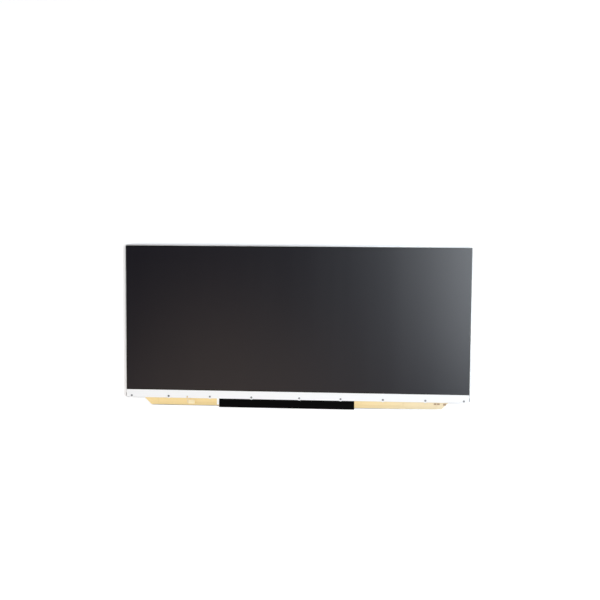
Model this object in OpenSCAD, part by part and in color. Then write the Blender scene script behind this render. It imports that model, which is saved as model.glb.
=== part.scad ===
// Edge-lit liquid crystal display module of ultrawide shape, lying on its back with the screen up.
// X runs to the right, Y to the top of the picture, Z out of the screen, all in millimetres.
// The origin is the centre of the picture area, in the plane of the four rear mounting faces.

/* [Screen] */
// Width of the lit picture area
active_w = 799.8; // [640:0.1:1000]
// Height of the lit picture area
active_h = 334.8; // [300:0.1:440]
// Dark border round the picture area
border_w = 3.2; // [2.6:0.1:6]
// Thickness of each sheet of glass
glass_t = 0.5; // [0.3:0.1:1.1]
// Thickness of each polarizer film
polarizer_t = 0.2; // [0.1:0.05:0.3]
// How far the front polarizer stays back from the glass edge
polarizer_inset = 0.4; // [0.1:0.1:1]
// How far the rear polarizer reaches past the picture area
polarizer_over = 1; // [0.9:0.1:1.2]
// Depth of the row of bonding pads below the front glass
pad_depth = 4.5; // [3:0.1:8]
// Gap between the glass and the frame round it
glass_gap = 0.3; // [0.2:0.05:0.6]

/* [Backlight] */
// Thickness of the white reflector
reflector_t = 0.2; // [0.1:0.05:0.4]
// Thickness of the light guide
guide_t = 3; // [2:0.1:4]
// How far the light guide reaches past the picture at the sides and top
guide_over = 1.6; // [1:0.1:1.8]
// How far the light guide reaches past the picture towards the light bar
guide_over_lit = 2.4; // [1.5:0.1:3]
// Thickness of the diffuser sheet
diffuser_t = 0.35; // [0.2:0.05:0.6]
// Thickness of the prism sheet
prism_t = 0.3; // [0.15:0.05:0.5]
// Thickness of the upper diffuser
upper_sheet_t = 0.35; // [0.2:0.05:0.6]
// Gap between the sheets and the ledge over them
sheet_gap = 0.3; // [0.1:0.05:0.5]
// Width of each tab on the top edge of the sheets
tab_w = 24; // [10:1:40]
// Length of each rubber pad beside the light guide
pad_len = 14; // [8:1:30]
// How far each rubber pad reaches into the light guide
pad_notch = 3; // [2:0.1:5]
// Length of one light package
led_w = 7; // [3:0.1:9]
// Depth of one light package
led_t = 0.75; // [0.5:0.05:1]
// Spacing of the light packages
led_pitch = 12.4; // [10:0.1:20]
// Gap between the light guide and the lit faces
led_gap = 0.3; // [0.1:0.05:0.5]
// Thickness of the board that carries the light packages
led_board_t = 1; // [0.6:0.1:1.5]
// Thickness of the upright leg of the heat sink
heat_sink_t = 1.5; // [1:0.1:2]

/* [Frame] */
// Thickness of the frame wall round the glass
frame_wall = 0.8; // [0.6:0.1:2]
// Thickness of the frame wall below the glass
frame_wall_low = 1.6; // [1:0.1:3]
// Thickness of the ledge that carries the glass
ledge_t = 1; // [0.6:0.1:2]
// How far the ledge stays outside the picture area
ledge_over = 0.8; // [0.4:0.1:0.9]
// Thickness of the foam tape under the glass
tape_t = 0.5; // [0.4:0.05:1]
// Width of each snap hook
hook_w = 9; // [5:0.5:15]
// How far each snap hook stands out
hook_out = 0.6; // [0.4:0.05:0.9]

/* [Rear chassis] */
// Depth from the mounting faces to the chassis plate
rear_depth = 6; // [5.6:0.1:10]
// Thickness of the chassis sheet
chassis_t = 1; // [0.7:0.1:1.2]
// Height of the chassis walls above the plate
wall_h = 6.4; // [5.4:0.1:6.8]
// Gap where two walls meet at a corner
relief = 2; // [1:0.5:5]
// Spacing of the mounting holes across the back
mount_w = 400; // [280:1:440]
// Spacing of the mounting holes up the back
mount_h = 200; // [120:1:210]
// Radius of each mounting boss at the plate
boss_r = 22; // [18:0.5:26]
// Radius of the flat face of each mounting boss
boss_face_r = 14; // [10:0.5:16]
// Radius of the tapped hole in each clinch nut
nut_bore_r = 1.65; // [1.25:0.05:2.5]
// Radius of each clinch nut
nut_r = 4; // [3.6:0.1:6]
// Depth of the stiffening beads
bead_depth = 2.5; // [1:0.1:3]
// Half the width of a bead at the plate
bead_r = 8; // [6:0.5:9]
// Distance between two beads in a row
bead_gap = 24; // [16:1:40]
// Height of the lip along the lower edge
lip_h = 1.6; // [1:0.1:1.9]

/* [Front rail] */
// Width of the rail over the lower edge
rail_h = 18.4; // [18:0.1:20]
// Thickness of the rail
rail_t = 0.8; // [0.5:0.1:1.2]
// Gap between the rail and the screen
rail_gap = 0.25; // [0.1:0.05:1]
// How far the glass runs on under the rail
rail_lap = 1; // [0.5:0.1:1.5]
// Depth of the folded edge of the rail
rail_return = 3.4; // [2:0.1:3.8]
// Radius of the round ears at the screws
ear_r = 5.2; // [4.5:0.1:6]
// Distance from the rail's lower edge to the screws
screw_inset = 4; // [3.8:0.1:4.2]
// Distance from the rail's end to its end screws
end_inset = 12.5; // [8:0.5:20]
// Distance of the middle screw from the centre line
middle_x = 8; // [6:0.5:10]
// Radius of the screw heads
screw_head_r = 2.3; // [2:0.1:3]
// Height of the screw heads
screw_head_h = 1.15; // [0.8:0.05:1.5]
// Radius of the screw shanks
screw_r = 1.15; // [0.9:0.05:1.3]
// Radius of the posts under the rail
post_r = 2.5; // [2.2:0.1:2.9]

/* [Source boards] */
// Distance from the glass edge to the left board's outer end
board_inset_left = 42.1; // [30:0.1:60]
// Distance from the glass edge to the right board's outer end
board_inset_right = 47.1; // [30:0.1:60]
// Height of the source boards
board_h = 25.4; // [24:0.1:30]
// Thickness of the source boards
board_t = 1.2; // [0.8:0.1:1.5]
// Thickness of the insulating liner under the boards
liner_t = 0.3; // [0.1:0.05:0.5]
// Size of the slanted corner at each outer end
board_bevel = 15.9; // [8:0.1:18]
// Gap between the two boards at the middle screw
board_split = 8; // [7:0.5:12]
// Width of each source film
film_w = 44; // [30:0.5:52]
// Thickness of each source film
film_t = 0.1; // [0.05:0.01:0.2]
// Inner radius of the bends in a source film
film_r = 1.9; // [1:0.1:2.2]
// Length of film bonded to the board
film_land = 3.6; // [2:0.1:4]
// Length of each driver chip
chip_w = 22; // [14:0.5:28]
// Width of each driver chip
chip_d = 1.4; // [0.8:0.1:1.8]

/* [Cables and insulation] */
// Width of the two flat cables
cable_w = 30; // [15:0.5:40]
// Thickness of the flat cables
cable_t = 0.3; // [0.2:0.05:0.4]
// Distance of each flat cable from the centre line
cable_x = 60; // [48:1:64]
// Left end of the black insulating sheet, from the centre line
sheet_left = 182.2; // [150:0.1:210]
// Right end of the black insulating sheet, from the centre line
sheet_right = 137.1; // [120:0.1:160]
// Thickness of the insulating sheet
sheet_t = 0.25; // [0.1:0.05:0.4]
// Width of the white foam strip at the sheet's left end
foam_w = 10; // [6:0.5:14]
// How much of the white foam strip shows beside the sheet
foam_show = 5.5; // [2:0.5:6]
// Height of the backlight lead on the board
lead_h = 0.9; // [0.6:0.05:1.2]
// Width of the backlight lead
lead_w = 1.8; // [1.2:0.1:2]
// Distance from the left board's outer end to the upright stretch of the lead
lead_inset = 103.3; // [95:0.1:110]
// Length of the backlight socket
light_socket_w = 14.4; // [10:0.1:20]
// Depth of the backlight socket
light_socket_d = 9; // [7:0.1:9.4]
// Height of the backlight socket
light_socket_h = 3.5; // [2.5:0.1:4.5]

/* [Timing board] */
// Width of the timing board
timing_w = 180; // [150:1:220]
// Height of the timing board
timing_h = 63; // [54:1:75]
// Thickness of the timing board
timing_t = 1.2; // [0.8:0.1:1.4]
// Height of the pressed pads that carry it
timing_pad_h = 1.6; // [1.4:0.1:1.9]
// Distance from the chassis edge to the timing board
timing_setback = 8.9; // [7:0.1:12]
// How far the shield cover stays back from each end of the board
cover_inset_x = 18; // [14:0.5:24]
// How far the shield cover stays back from each long edge of the board
cover_inset_y = 7; // [6.5:0.5:10]
// Thickness of the shield cover
cover_t = 0.5; // [0.3:0.1:0.6]
// Rows of ventilation slots in the cover
vent_rows = 3; // [2:1:4]
// Ventilation slots in each row
vent_cols = 9; // [4:1:10]
// Length of the picture signal socket
signal_w = 32; // [20:0.5:40]
// Depth of the picture signal socket
signal_d = 5.5; // [4.5:0.1:6]
// Height of the picture signal socket
signal_h = 1.3; // [1:0.1:1.6]
// Size of the display controller's package
controller_w = 22; // [14:0.5:27]
// Height of the display controller's package
controller_h = 1; // [0.7:0.1:1.4]

/* [Hidden] */
$fn = 48;
eps = 0.01;
// How far a cut runs past the faces that it opens
past = 1;

// Levels from the mounting faces up to the screen
floor_z = rear_depth + chassis_t;
guide_z = floor_z + reflector_t;
diffuser_z = guide_z + guide_t;
prism_z = diffuser_z + diffuser_t;
upper_sheet_z = prism_z + prism_t;
ledge_z = upper_sheet_z + upper_sheet_t + sheet_gap;
tape_z = ledge_z + ledge_t;
array_z = tape_z + tape_t;
filter_z = array_z + glass_t;
polarizer_z = filter_z + glass_t;
face_z = polarizer_z + polarizer_t;
rail_z = face_z + rail_gap;
rail_top_z = rail_z + rail_t;

// The outline of the screen, the frame round it and the tray round the frame
glass_x = active_w / 2 + border_w;
glass_top = active_h / 2 + border_w;
filter_low = -(glass_top + rail_lap);
array_low = filter_low - pad_depth;
frame_x = glass_x + glass_gap;
frame_top = glass_top + glass_gap;
low_gap = 0.5;
frame_lip = 0.2;
frame_low = array_low - low_gap;
frame_low_out = frame_low - frame_wall_low;
tray_gap = 0.1;
tray_x = frame_x + frame_wall + tray_gap;
tray_top = frame_top + frame_wall + tray_gap;
rail_low = -(glass_top + rail_h);
rail_clear = 0.3;
tray_low = rail_low - rail_clear;
hook_z = floor_z + 2;
hook_h = 2;
hook_clear = 0.3;
flange_lap = 5;
nut_h = 3;
nut_neck_r = nut_r - 1.3;
press_clear = 0.05;

// The backlight
guide_x = active_w / 2 + guide_over;
guide_top = active_h / 2 + guide_over;
guide_low = -(active_h / 2 + guide_over_lit);
notch_y = active_h / 3;
notch_clear = 0.1;
led_inset = 0.2;
led_h = guide_t - 2 * led_inset;
phosphor_t = 0.05;
led_face_y = guide_low - led_gap;
led_back_y = led_face_y - phosphor_t - led_t;
led_board_y = led_back_y - led_board_t;
led_board_over = 0.3;
led_board_top = diffuser_z + led_board_over;
led_board_inset = 3;
led_board_x = guide_x - led_board_inset;
led_count = floor(2 * (led_board_x - led_w) / led_pitch);
sink_y = led_board_y - heat_sink_t;
sink_foot_t = 1.2;
sink_clear = 0.3;
optical_setback = 0.5;
tab_lap = 1;
tape_inset = 0.3;

// Films from the glass down to the boards: they bend twice, by less where the drop is small
board_z = floor_z + liner_t;
board_top_z = board_z + board_t;
film_setback = 0.3;
film_reach = 0.8;
film_start = filter_low - film_setback;
film_fall = frame_low_out - film_reach;
film_drop = filter_z - board_top_z;
film_turn = film_drop >= 2 * film_r + film_t ? 90 : acos(1 - film_drop / (2 * film_r + film_t));
film_straight = max(0, film_drop - 2 * film_r - film_t);
film_foot = film_fall - (2 * film_r + film_t) * sin(film_turn);
film_end = film_foot - film_land;
chip_t = 0.6;
chip_clear = 0.1;
cap_w = 2;
cap_d = 1.2;
cap_h = 0.9;
cap_pitch = 12;
cap_off_post = 0.9;
cap_off_socket = 2.5;
mould_h = 1.9;
mould_drop = 1.9;

// The boards, the flange under them and the rail's screws
board_top = film_foot + film_r;
board_low = board_top - board_h;
flange_over = 0.5;
flange_low = board_low - flange_over;
flange_inset = 1.5;
screw_y = rail_low + screw_inset;
post_clear = 0.7;
film_gap = 2.5;
board_margin = 5;
bay_start = 6.5;
bay_end = board_end(1) - board_margin - film_w - film_gap - post_r;
bay = (bay_end - bay_start) / 3;
screw_xs = [-(glass_x - end_inset), -post_x(3), -post_x(2), -post_x(1), middle_x,
    post_x(1), post_x(2), post_x(3), glass_x - end_inset];
post_bore_r = screw_r + 0.1;
post_base = 1;
screw_len = 5;
rail_hole_r = screw_r + 0.35;
return_gap = 1;
liner_inset = 1;

function board_end(side) = glass_x - (side < 0 ? board_inset_left : board_inset_right);
function board_start(side) = side * middle_x + board_split / 2;
function post_x(i) = bay_start + i * bay;
function film_x(i) = i < 4 ? post_x(i - 0.5) : bay_end + post_r + film_gap + film_w / 2;

// Flat cables and the insulating sheet round the lower edge
socket_w = cable_w + 6;
socket_d = 5;
socket_h = 1.4;
latch_d = 1.5;
latch_t = 0.5;
latch_clear = 0.05;
cable_lift = 0.5;
cable_clear = 0.1;
cable_side_clear = 0.3;
cable_in = 3;
cable_notch = 1;
mouth_rise = 5.4;
mouth_y = board_low + mouth_rise;
timing_z = rear_depth - timing_pad_h;
timing_back_z = timing_z - timing_t;
timing_low = flange_low - chassis_t + timing_setback;
timing_top = timing_low + timing_h;
timing_y = (timing_low + timing_top) / 2;
cable_front_z = board_top_z + cable_lift;
cable_back_z = timing_back_z - cable_lift;
cable_r = (cable_front_z - cable_back_z) / 2;
sheet_clear = 0.2;
sheet_front_z = board_top_z + socket_h + sheet_clear;
sheet_back_z = timing_back_z - socket_h;
sheet_r = (sheet_front_z - sheet_back_z) / 2;
sheet_setback_y = 0.6;
sheet_start = film_foot - sheet_setback_y;
sheet_end = timing_low + socket_d - 0.5;
foam_low = board_low + 2;
foam_top = film_end - 1;
foam_back = foam_w - 2;
foam_setback = 0.5;

// The lead's route on the board: down between two films, across under the rail, down to its socket
lead_r = 0.8;
lead_clear = 0.6;
lead_from_x = -(post_x(2) + post_r + 2 * film_gap + lead_w);
lead_show_x = lead_inset - board_end(-1);
lead_cross_y = film_end - lead_clear - lead_w / 2;
light_socket_gap = 2.4;
light_socket_rise = 3.4;
light_socket_x = lead_show_x + light_socket_gap;
light_socket_low = board_low + light_socket_rise;
lead_rise = 2;
lead_in = 2;
mouth_clear = 0.2;
window_w = 3;
window_d = 2.4;
window_inset = 1.6;
window_deep = 1;
lead_entry_y = light_socket_low + lead_rise;
lead_notch = lead_w + 2 * lead_clear;
rail_notch = 4.7;

// The timing board's screws and its shield cover
cover_clear = 0.5;
cover_w = timing_w - 2 * cover_inset_x;
cover_h = timing_h - 2 * cover_inset_y;
timing_screw_inset = 14;
timing_screw_x = (timing_w - cover_inset_x) / 2;
timing_screw_y = timing_h / 2 - timing_screw_inset;
timing_screw_r = 1.2;
timing_hole_r = timing_screw_r + 0.4;
timing_head_r = 2.6;
timing_head_h = 1.2;
timing_screw_len = 3.6;
timing_pad_r = 5;
timing_pad_face_r = 3.6;
ear_d = 12;
ear_root = 1;
ear_end = 5;
vent_w = 2;
vent_len = 9;
tray_margin = 30;
beads_in_row = 4;
chip_h = 0.9;
// Packages beside the controller: each has its place from the board's centre, its width and depth
timing_packages = [[-46, 8, 12, 10], [-46, -10, 9, 9], [-26, 2, 5, 8],
    [38, 9, 10, 8], [52, -8, 7, 7], [34, -9, 8, 6]];
pad_inset = 1;
signal_x = 12;
signal_wall = 1;
signal_mouth = 0.6;
signal_floor = 0.35;
signal_deep = 2;

// Puts its children on the left, mirrored, or on the right
module on_side(side) {
    if (side < 0) mirror([1, 0, 0]) children();
    else children();
}

// One bend of a strip, towards its underside
module bend(r, turn, w, t) {
    translate([0, 0, -r]) rotate([-90, -90, 0])
        rotate_extrude(angle = turn) translate([r, -w / 2]) square([t, w]);
}

// A flat strip laid along its steps from the origin, along +X. A step is [length, 0] for a
// straight, or [inner radius, turn]: a positive turn goes towards the underside of the strip.
module strip(steps, w, t, i = 0) {
    if (i < len(steps)) {
        size = steps[i][0];
        turn = steps[i][1];
        if (turn == 0) {
            if (size > 0) translate([0, -w / 2, 0]) cube([size, w, t]);
            translate([size, 0, 0]) strip(steps, w, t, i + 1);
        } else if (turn > 0) {
            bend(size, turn, w, t);
            translate([size * sin(turn), 0, size * (cos(turn) - 1)])
                rotate([0, turn, 0]) strip(steps, w, t, i + 1);
        } else {
            translate([0, 0, t]) mirror([0, 0, 1]) bend(size, -turn, w, t);
            translate([(size + t) * sin(-turn), 0, (size + t) * (1 - cos(turn))])
                rotate([0, turn, 0]) strip(steps, w, t, i + 1);
        }
    }
}

// A sheet wall folded up from a plate, its inner corner along the X axis and its plate at +Y
module folded_wall(length, height) {
    translate([-length / 2, -chassis_t, 0]) cube([length, chassis_t, height]);
    intersection() {
        rotate([0, 90, 0]) cylinder(h = length, r = chassis_t, center = true);
        translate([-length / 2, -chassis_t, -chassis_t]) cube([length, chassis_t, chassis_t]);
    }
}

// A pressing with sloped sides and round ends, hanging down from the XY plane
module pressing(length, root_r, face_r, depth, lead) {
    for (x = length > 0 ? [-length / 2, length / 2] : [0]) translate([x, 0, 0]) {
        translate([0, 0, -depth]) cylinder(h = depth, r1 = face_r, r2 = root_r);
        cylinder(h = lead, r = root_r);
    }
    if (length > 0) translate([-length / 2, 0, 0]) rotate([90, 0, 90]) linear_extrude(length)
        polygon([[-face_r, -depth], [face_r, -depth], [root_r, 0], [root_r, lead],
            [-root_r, lead], [-root_r, 0]]);
}

// How much smaller the inside of a pressing is, so that the sheet keeps its thickness
function press_trim(root_r, face_r, depth) =
    let (slope = (root_r - face_r) / depth) chassis_t * (sqrt(1 + slope * slope) - slope);

// The inside or the outside of every pressing in the chassis plate
module pressings(inside) {
    level = inside ? floor_z : rear_depth;
    lead = inside ? past : chassis_t / 2;
    module press(x, y, length, root_r, face_r, depth) {
        trim = inside ? press_trim(root_r, face_r, depth) : 0;
        translate([x, y, level]) pressing(length, root_r - trim, face_r - trim, depth, lead);
    }
    module bead_row(from, to, count, y) {
        length = (to - from - (count - 1) * bead_gap) / count;
        for (i = [0 : count - 1])
            press(from + length / 2 + i * (length + bead_gap), y, length - 2 * bead_r,
                bead_r, bead_r - bead_depth, bead_depth);
    }
    span = tray_x - tray_margin;
    outer_y = (mount_h / 2 + boss_r + tray_top) / 2;
    inner_y = (mount_h / 2 - boss_r) / 2;
    for (x = [-1, 1], y = [-1, 1])
        press(x * mount_w / 2, y * mount_h / 2, 0, boss_r, boss_face_r, rear_depth);
    for (x = [-1, 1], y = [-1, 1])
        press(x * timing_screw_x, timing_y + y * timing_screw_y, 0,
            timing_pad_r, timing_pad_face_r, timing_pad_h);
    for (y = [outer_y, inner_y, -inner_y]) bead_row(-span, span, beads_in_row, y);
    for (side = [-1, 1]) on_side(side)
        bead_row(timing_w / 2 + bead_gap, span, beads_in_row / 2, -outer_y);
}

// Places of the snap hooks: eight along the top, four up each side
module at_hooks() {
    for (i = [0 : 7]) translate([(i - 3.5) * frame_x / 4, frame_top + frame_wall, hook_z])
        rotate([0, 0, 90]) children();
    for (side = [-1, 1]) on_side(side) for (i = [0 : 3])
        translate([frame_x + frame_wall, (i - 1.5) * frame_top / 2, hook_z]) children();
}

// Runs of the lower flange: the plate under the boards, with its slanted ends
module flange_outline() {
    ends = [board_end(-1) - flange_inset, board_end(1) - flange_inset];
    cut = board_bevel + flange_over;
    top = tray_low + flange_lap;
    polygon([[-ends[0], top], [-ends[0], flange_low + cut], [cut - ends[0], flange_low],
        [ends[1] - cut, flange_low], [ends[1], flange_low + cut], [ends[1], top]]);
}

module back_chassis() {
    lip_from = flange_inset + board_bevel + flange_over - board_end(-1);
    lip_to = board_end(1) - flange_inset - board_bevel - flange_over;
    color([0.72, 0.74, 0.75]) difference() {
        union() {
            translate([-tray_x, tray_low, rear_depth])
                cube([2 * tray_x, tray_top - tray_low, chassis_t]);
            translate([0, 0, rear_depth]) linear_extrude(chassis_t) flange_outline();
            translate([(lip_from + lip_to) / 2, flange_low, floor_z])
                folded_wall(lip_to - lip_from, lip_h);
            translate([0, tray_top, floor_z]) rotate([0, 0, 180])
                folded_wall(2 * (tray_x - relief), wall_h);
            for (side = [-1, 1]) on_side(side) {
                translate([tray_x, (tray_top + tray_low) / 2, floor_z]) rotate([0, 0, 90])
                    folded_wall(tray_top - tray_low - 2 * relief, wall_h);
                corner = tray_x - board_end(side) + flange_inset - 2 * relief;
                translate([tray_x - relief - corner / 2, tray_low, floor_z])
                    folded_wall(corner, wall_h);
            }
            pressings(false);
        }
        pressings(true);
        for (x = [-1, 1], y = [-1, 1]) {
            translate([x * mount_w / 2, y * mount_h / 2, -past])
                cylinder(h = chassis_t + 2 * past, r = nut_neck_r + press_clear);
            translate([x * timing_screw_x, timing_y + y * timing_screw_y, timing_z - past])
                cylinder(h = chassis_t + 2 * past, r = timing_screw_r + press_clear);
        }
        at_hooks() translate([-eps, -hook_w / 2 - hook_clear, -hook_clear])
            cube([tray_gap + chassis_t + past, hook_w + 2 * hook_clear, hook_h + 2 * hook_clear]);
        for (side = [-1, 1]) translate([side * cable_x - cable_w / 2 - cable_notch,
                flange_low - chassis_t - past, floor_z])
            cube([cable_w + 2 * cable_notch, chassis_t + past + eps, lip_h + past]);
    }
}

// Press nuts in the four bosses, their necks flush with the mounting faces
module clinch_nuts() {
    color([0.8, 0.79, 0.74]) for (x = [-1, 1], y = [-1, 1])
        translate([x * mount_w / 2, y * mount_h / 2, 0]) difference() {
            union() {
                cylinder(h = chassis_t + eps, r = nut_neck_r);
                translate([0, 0, chassis_t]) cylinder(h = nut_h, r = nut_r);
            }
            translate([0, 0, -past]) cylinder(h = chassis_t + nut_h + 2 * past, r = nut_bore_r);
        }
}

// Outline of the light guide, with a notch for each rubber pad
module guide_outline() {
    difference() {
        translate([-guide_x, guide_low]) square([2 * guide_x, guide_top - guide_low]);
        for (x = [-1, 1], y = [-1, 1])
            translate([x * guide_x, y * notch_y])
                square([2 * pad_notch, pad_len + 2 * notch_clear], center = true);
    }
}

module reflector_sheet() {
    color("white") translate([0, 0, floor_z]) linear_extrude(reflector_t) guide_outline();
}

module light_guide() {
    color([0.85, 0.95, 1, 0.6]) translate([0, 0, guide_z]) linear_extrude(guide_t) guide_outline();
}

module light_guide_pads() {
    wide = frame_x - guide_x + pad_notch - 2 * notch_clear;
    color([0.15, 0.15, 0.15]) for (side = [-1, 1], y = [-1, 1]) on_side(side)
        translate([frame_x - notch_clear - wide, y * notch_y - pad_len / 2, floor_z])
            cube([wide, pad_len, reflector_t + guide_t]);
}

// Outline of the optical sheets: three tabs on the top edge keep them in place
module sheet_outline() {
    low = guide_low + optical_setback;
    translate([-guide_x, low]) square([2 * guide_x, guide_top - low]);
    for (i = [-1, 0, 1]) translate([i * guide_x * 0.6 - tab_w / 2, guide_top - tab_lap])
        square([tab_w, glass_top - guide_top + tab_lap]);
}

module diffuser_sheet() {
    color([0.95, 0.95, 0.97]) translate([0, 0, diffuser_z])
        linear_extrude(diffuser_t) sheet_outline();
}

module prism_sheet() {
    color([0.85, 0.88, 0.92]) translate([0, 0, prism_z]) linear_extrude(prism_t) sheet_outline();
}

module upper_diffuser() {
    color([0.97, 0.97, 0.98]) translate([0, 0, upper_sheet_z])
        linear_extrude(upper_sheet_t) sheet_outline();
}

module led_strip_board() {
    color([0.93, 0.94, 0.92]) translate([-led_board_x, led_board_y, floor_z])
        cube([2 * led_board_x, led_board_t, led_board_top - floor_z]);
}

module at_leds() {
    for (i = [0 : led_count - 1])
        translate([(i - (led_count - 1) / 2) * led_pitch, 0, guide_z + led_inset]) children();
}

module led_packages() {
    color([0.98, 0.98, 0.95]) at_leds() translate([-led_w / 2, led_back_y, 0])
        cube([led_w, led_t, led_h]);
}

module led_phosphors() {
    color([0.95, 0.85, 0.25]) at_leds()
        translate([-led_w * 0.4, led_face_y - phosphor_t, led_h * 0.2])
            cube([led_w * 0.8, phosphor_t, led_h * 0.6]);
}

module led_heat_sink() {
    color([0.8, 0.81, 0.83]) difference() {
        union() {
            translate([-led_board_x, sink_y, floor_z])
                cube([2 * led_board_x, heat_sink_t, ledge_z - sink_clear - floor_z]);
            translate([-led_board_x, frame_low + sink_clear, floor_z])
                cube([2 * led_board_x, sink_y - frame_low - sink_clear + eps, sink_foot_t]);
        }
        lead_passage();
    }
}

// The way of the backlight lead out of the tray, open at its top
module lead_passage() {
    translate([lead_from_x - lead_notch / 2, frame_low_out - past, board_top_z - frame_lip])
        cube([lead_notch, led_board_y - frame_low_out + past, ledge_z + ledge_t - board_top_z]);
}

module middle_frame() {
    window_x = active_w / 2 + ledge_over;
    window_y = active_h / 2 + ledge_over;
    color([0.93, 0.93, 0.92]) difference() {
        union() {
            translate([0, 0, floor_z]) linear_extrude(face_z - floor_z) difference() {
                translate([-frame_x - frame_wall, frame_low_out])
                    square([2 * (frame_x + frame_wall), frame_top + frame_wall - frame_low_out]);
                translate([-frame_x, frame_low_out - past])
                    square([2 * frame_x, frame_top - frame_low_out + past]);
            }
            translate([-frame_x - eps, frame_low_out, floor_z])
                cube([2 * (frame_x + eps), frame_wall_low, array_z + frame_lip - floor_z]);
            translate([0, 0, ledge_z]) linear_extrude(ledge_t) difference() {
                translate([-frame_x - eps, frame_low - eps])
                    square([2 * (frame_x + eps), frame_top - frame_low + 2 * eps]);
                translate([-window_x, -window_y]) square([2 * window_x, 2 * window_y]);
            }
            at_hooks() rotate([90, 0, 0]) translate([0, 0, -hook_w / 2]) linear_extrude(hook_w)
                polygon([[-eps, 0], [0, 0], [hook_out, hook_h], [-eps, hook_h]]);
        }
        lead_passage();
    }
}

module cell_tape() {
    inner_x = active_w / 2 + polarizer_over + tape_inset;
    inner_y = active_h / 2 + polarizer_over + tape_inset;
    color([0.1, 0.1, 0.1]) translate([0, 0, tape_z]) linear_extrude(tape_t) difference() {
        translate([tape_inset - glass_x, filter_low + tape_inset])
            square([2 * (glass_x - tape_inset), glass_top - filter_low - 2 * tape_inset]);
        translate([-inner_x, -inner_y]) square([2 * inner_x, 2 * inner_y]);
    }
}

module rear_polarizer() {
    wide = active_w + 2 * polarizer_over;
    high = active_h + 2 * polarizer_over;
    color([0.25, 0.26, 0.28]) translate([-wide / 2, -high / 2, array_z - polarizer_t])
        cube([wide, high, polarizer_t]);
}

module array_glass() {
    color([0.3, 0.34, 0.34]) translate([-glass_x, array_low, array_z])
        cube([2 * glass_x, glass_top - array_low, glass_t]);
}

module filter_glass() {
    color([0.12, 0.12, 0.13]) translate([-glass_x, filter_low, filter_z])
        cube([2 * glass_x, glass_top - filter_low, glass_t]);
}

module front_polarizer() {
    edge_x = glass_x - polarizer_inset;
    low = filter_low + polarizer_inset;
    color([0.16, 0.16, 0.18]) translate([-edge_x, low, polarizer_z])
        cube([2 * edge_x, glass_top - polarizer_inset - low, polarizer_t]);
}

// Sheet rail over the lower edge: nine ears for its screws, and a folded edge between them
module front_rail() {
    color([0.97, 0.97, 0.96]) difference() {
        union() {
            translate([-glass_x, rail_low, rail_z]) cube([2 * glass_x, rail_h, rail_t]);
            for (x = screw_xs) translate([x, screw_y, rail_z]) cylinder(h = rail_t, r = ear_r);
            for (i = [0 : len(screw_xs) - 2]) {
                from = screw_xs[i] + ear_r + return_gap;
                translate([from, rail_low, rail_z - rail_return])
                    cube([screw_xs[i + 1] - ear_r - return_gap - from, rail_t, rail_return + eps]);
            }
            for (side = [-1, 1]) on_side(side)
                translate([glass_x - rail_t, rail_low + ear_r, rail_z - rail_return])
                    cube([rail_t, film_fall - rail_low - ear_r, rail_return + eps]);
        }
        for (x = screw_xs) translate([x, screw_y, rail_z - past])
            cylinder(h = rail_t + 2 * past, r = rail_hole_r);
        translate([lead_show_x - lead_notch / 2, rail_low - past, rail_z - rail_return - past])
            cube([lead_notch, rail_notch + past, rail_return + rail_t + 2 * past]);
    }
}

// Round head with a cross recess, its dome flatter than a full cap of that height
module screw(head_r, head_h, shank_r, length) {
    dome_r = (head_r * head_r + head_h * head_h) / head_h * 0.75;
    difference() {
        union() {
            intersection() {
                cylinder(h = head_h, r = head_r);
                translate([0, 0, head_h - dome_r]) sphere(r = dome_r);
            }
            translate([0, 0, -length]) cylinder(h = length + eps, r = shank_r);
        }
        for (turn = [0, 90]) rotate([0, 0, turn])
            translate([-head_r * 0.55, -head_r * 0.11, head_h * 0.45])
                cube([head_r * 1.1, head_r * 0.22, head_h]);
    }
}

module rail_screws() {
    color([0.45, 0.45, 0.47]) for (x = screw_xs) translate([x, screw_y, rail_top_z])
        screw(screw_head_r, screw_head_h, screw_r, screw_len);
}

module rail_posts() {
    color([0.75, 0.75, 0.74]) for (x = screw_xs) translate([x, screw_y, floor_z]) difference() {
        cylinder(h = rail_z - floor_z, r = post_r);
        translate([0, 0, post_base]) cylinder(h = rail_z, r = post_bore_r);
    }
}

// Open slots round the posts in whatever lies below the rail, up to the level of its top edge
module post_slots(r, from_z, height, top) {
    for (x = screw_xs) translate([x, screw_y, from_z]) {
        cylinder(h = height, r = r);
        translate([-r, 0, 0]) cube([2 * r, top + past - screw_y, height]);
    }
}

// Outline of one source board with its slanted outer corner
module board_outline(side, inset) {
    low = board_low + inset;
    top = board_top - inset;
    start = board_start(side) + inset;
    end = board_end(side) - inset;
    on_side(side) polygon([[start, low], [start, top], [end, top], [end, board_low + board_bevel],
        [end - board_bevel + inset, low]]);
}

module source_board(side) {
    color([0.96, 0.87, 0.66]) difference() {
        translate([0, 0, board_z]) linear_extrude(board_t) board_outline(side, 0);
        post_slots(post_r + post_clear, board_z - past, board_t + 2 * past, board_top);
    }
}

module board_liner(side) {
    color([0.2, 0.2, 0.2]) difference() {
        translate([0, 0, floor_z]) linear_extrude(liner_t) board_outline(side, liner_inset);
        post_slots(post_r + post_clear, floor_z - past, liner_t + 2 * past, board_top);
    }
}

// Place of film number 1 to 8, from left to right
function film_place(number) = number < 5 ? -film_x(5 - number) : film_x(number - 4);

module source_film(number) {
    color([0.8, 0.55, 0.2]) translate([film_place(number), film_start, filter_z]) rotate([0, 0, -90])
        strip([[film_start - film_fall, 0], [film_r, film_turn], [film_straight, 0],
            [film_r, -film_turn], [film_land, 0]], film_w, film_t);
}

module driver_chips() {
    color([0.1, 0.1, 0.11]) for (number = [1 : 8])
        translate([film_place(number) - chip_w / 2, film_foot - chip_clear - chip_d, board_top_z + film_t])
            cube([chip_w, chip_d, chip_t]);
}

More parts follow.
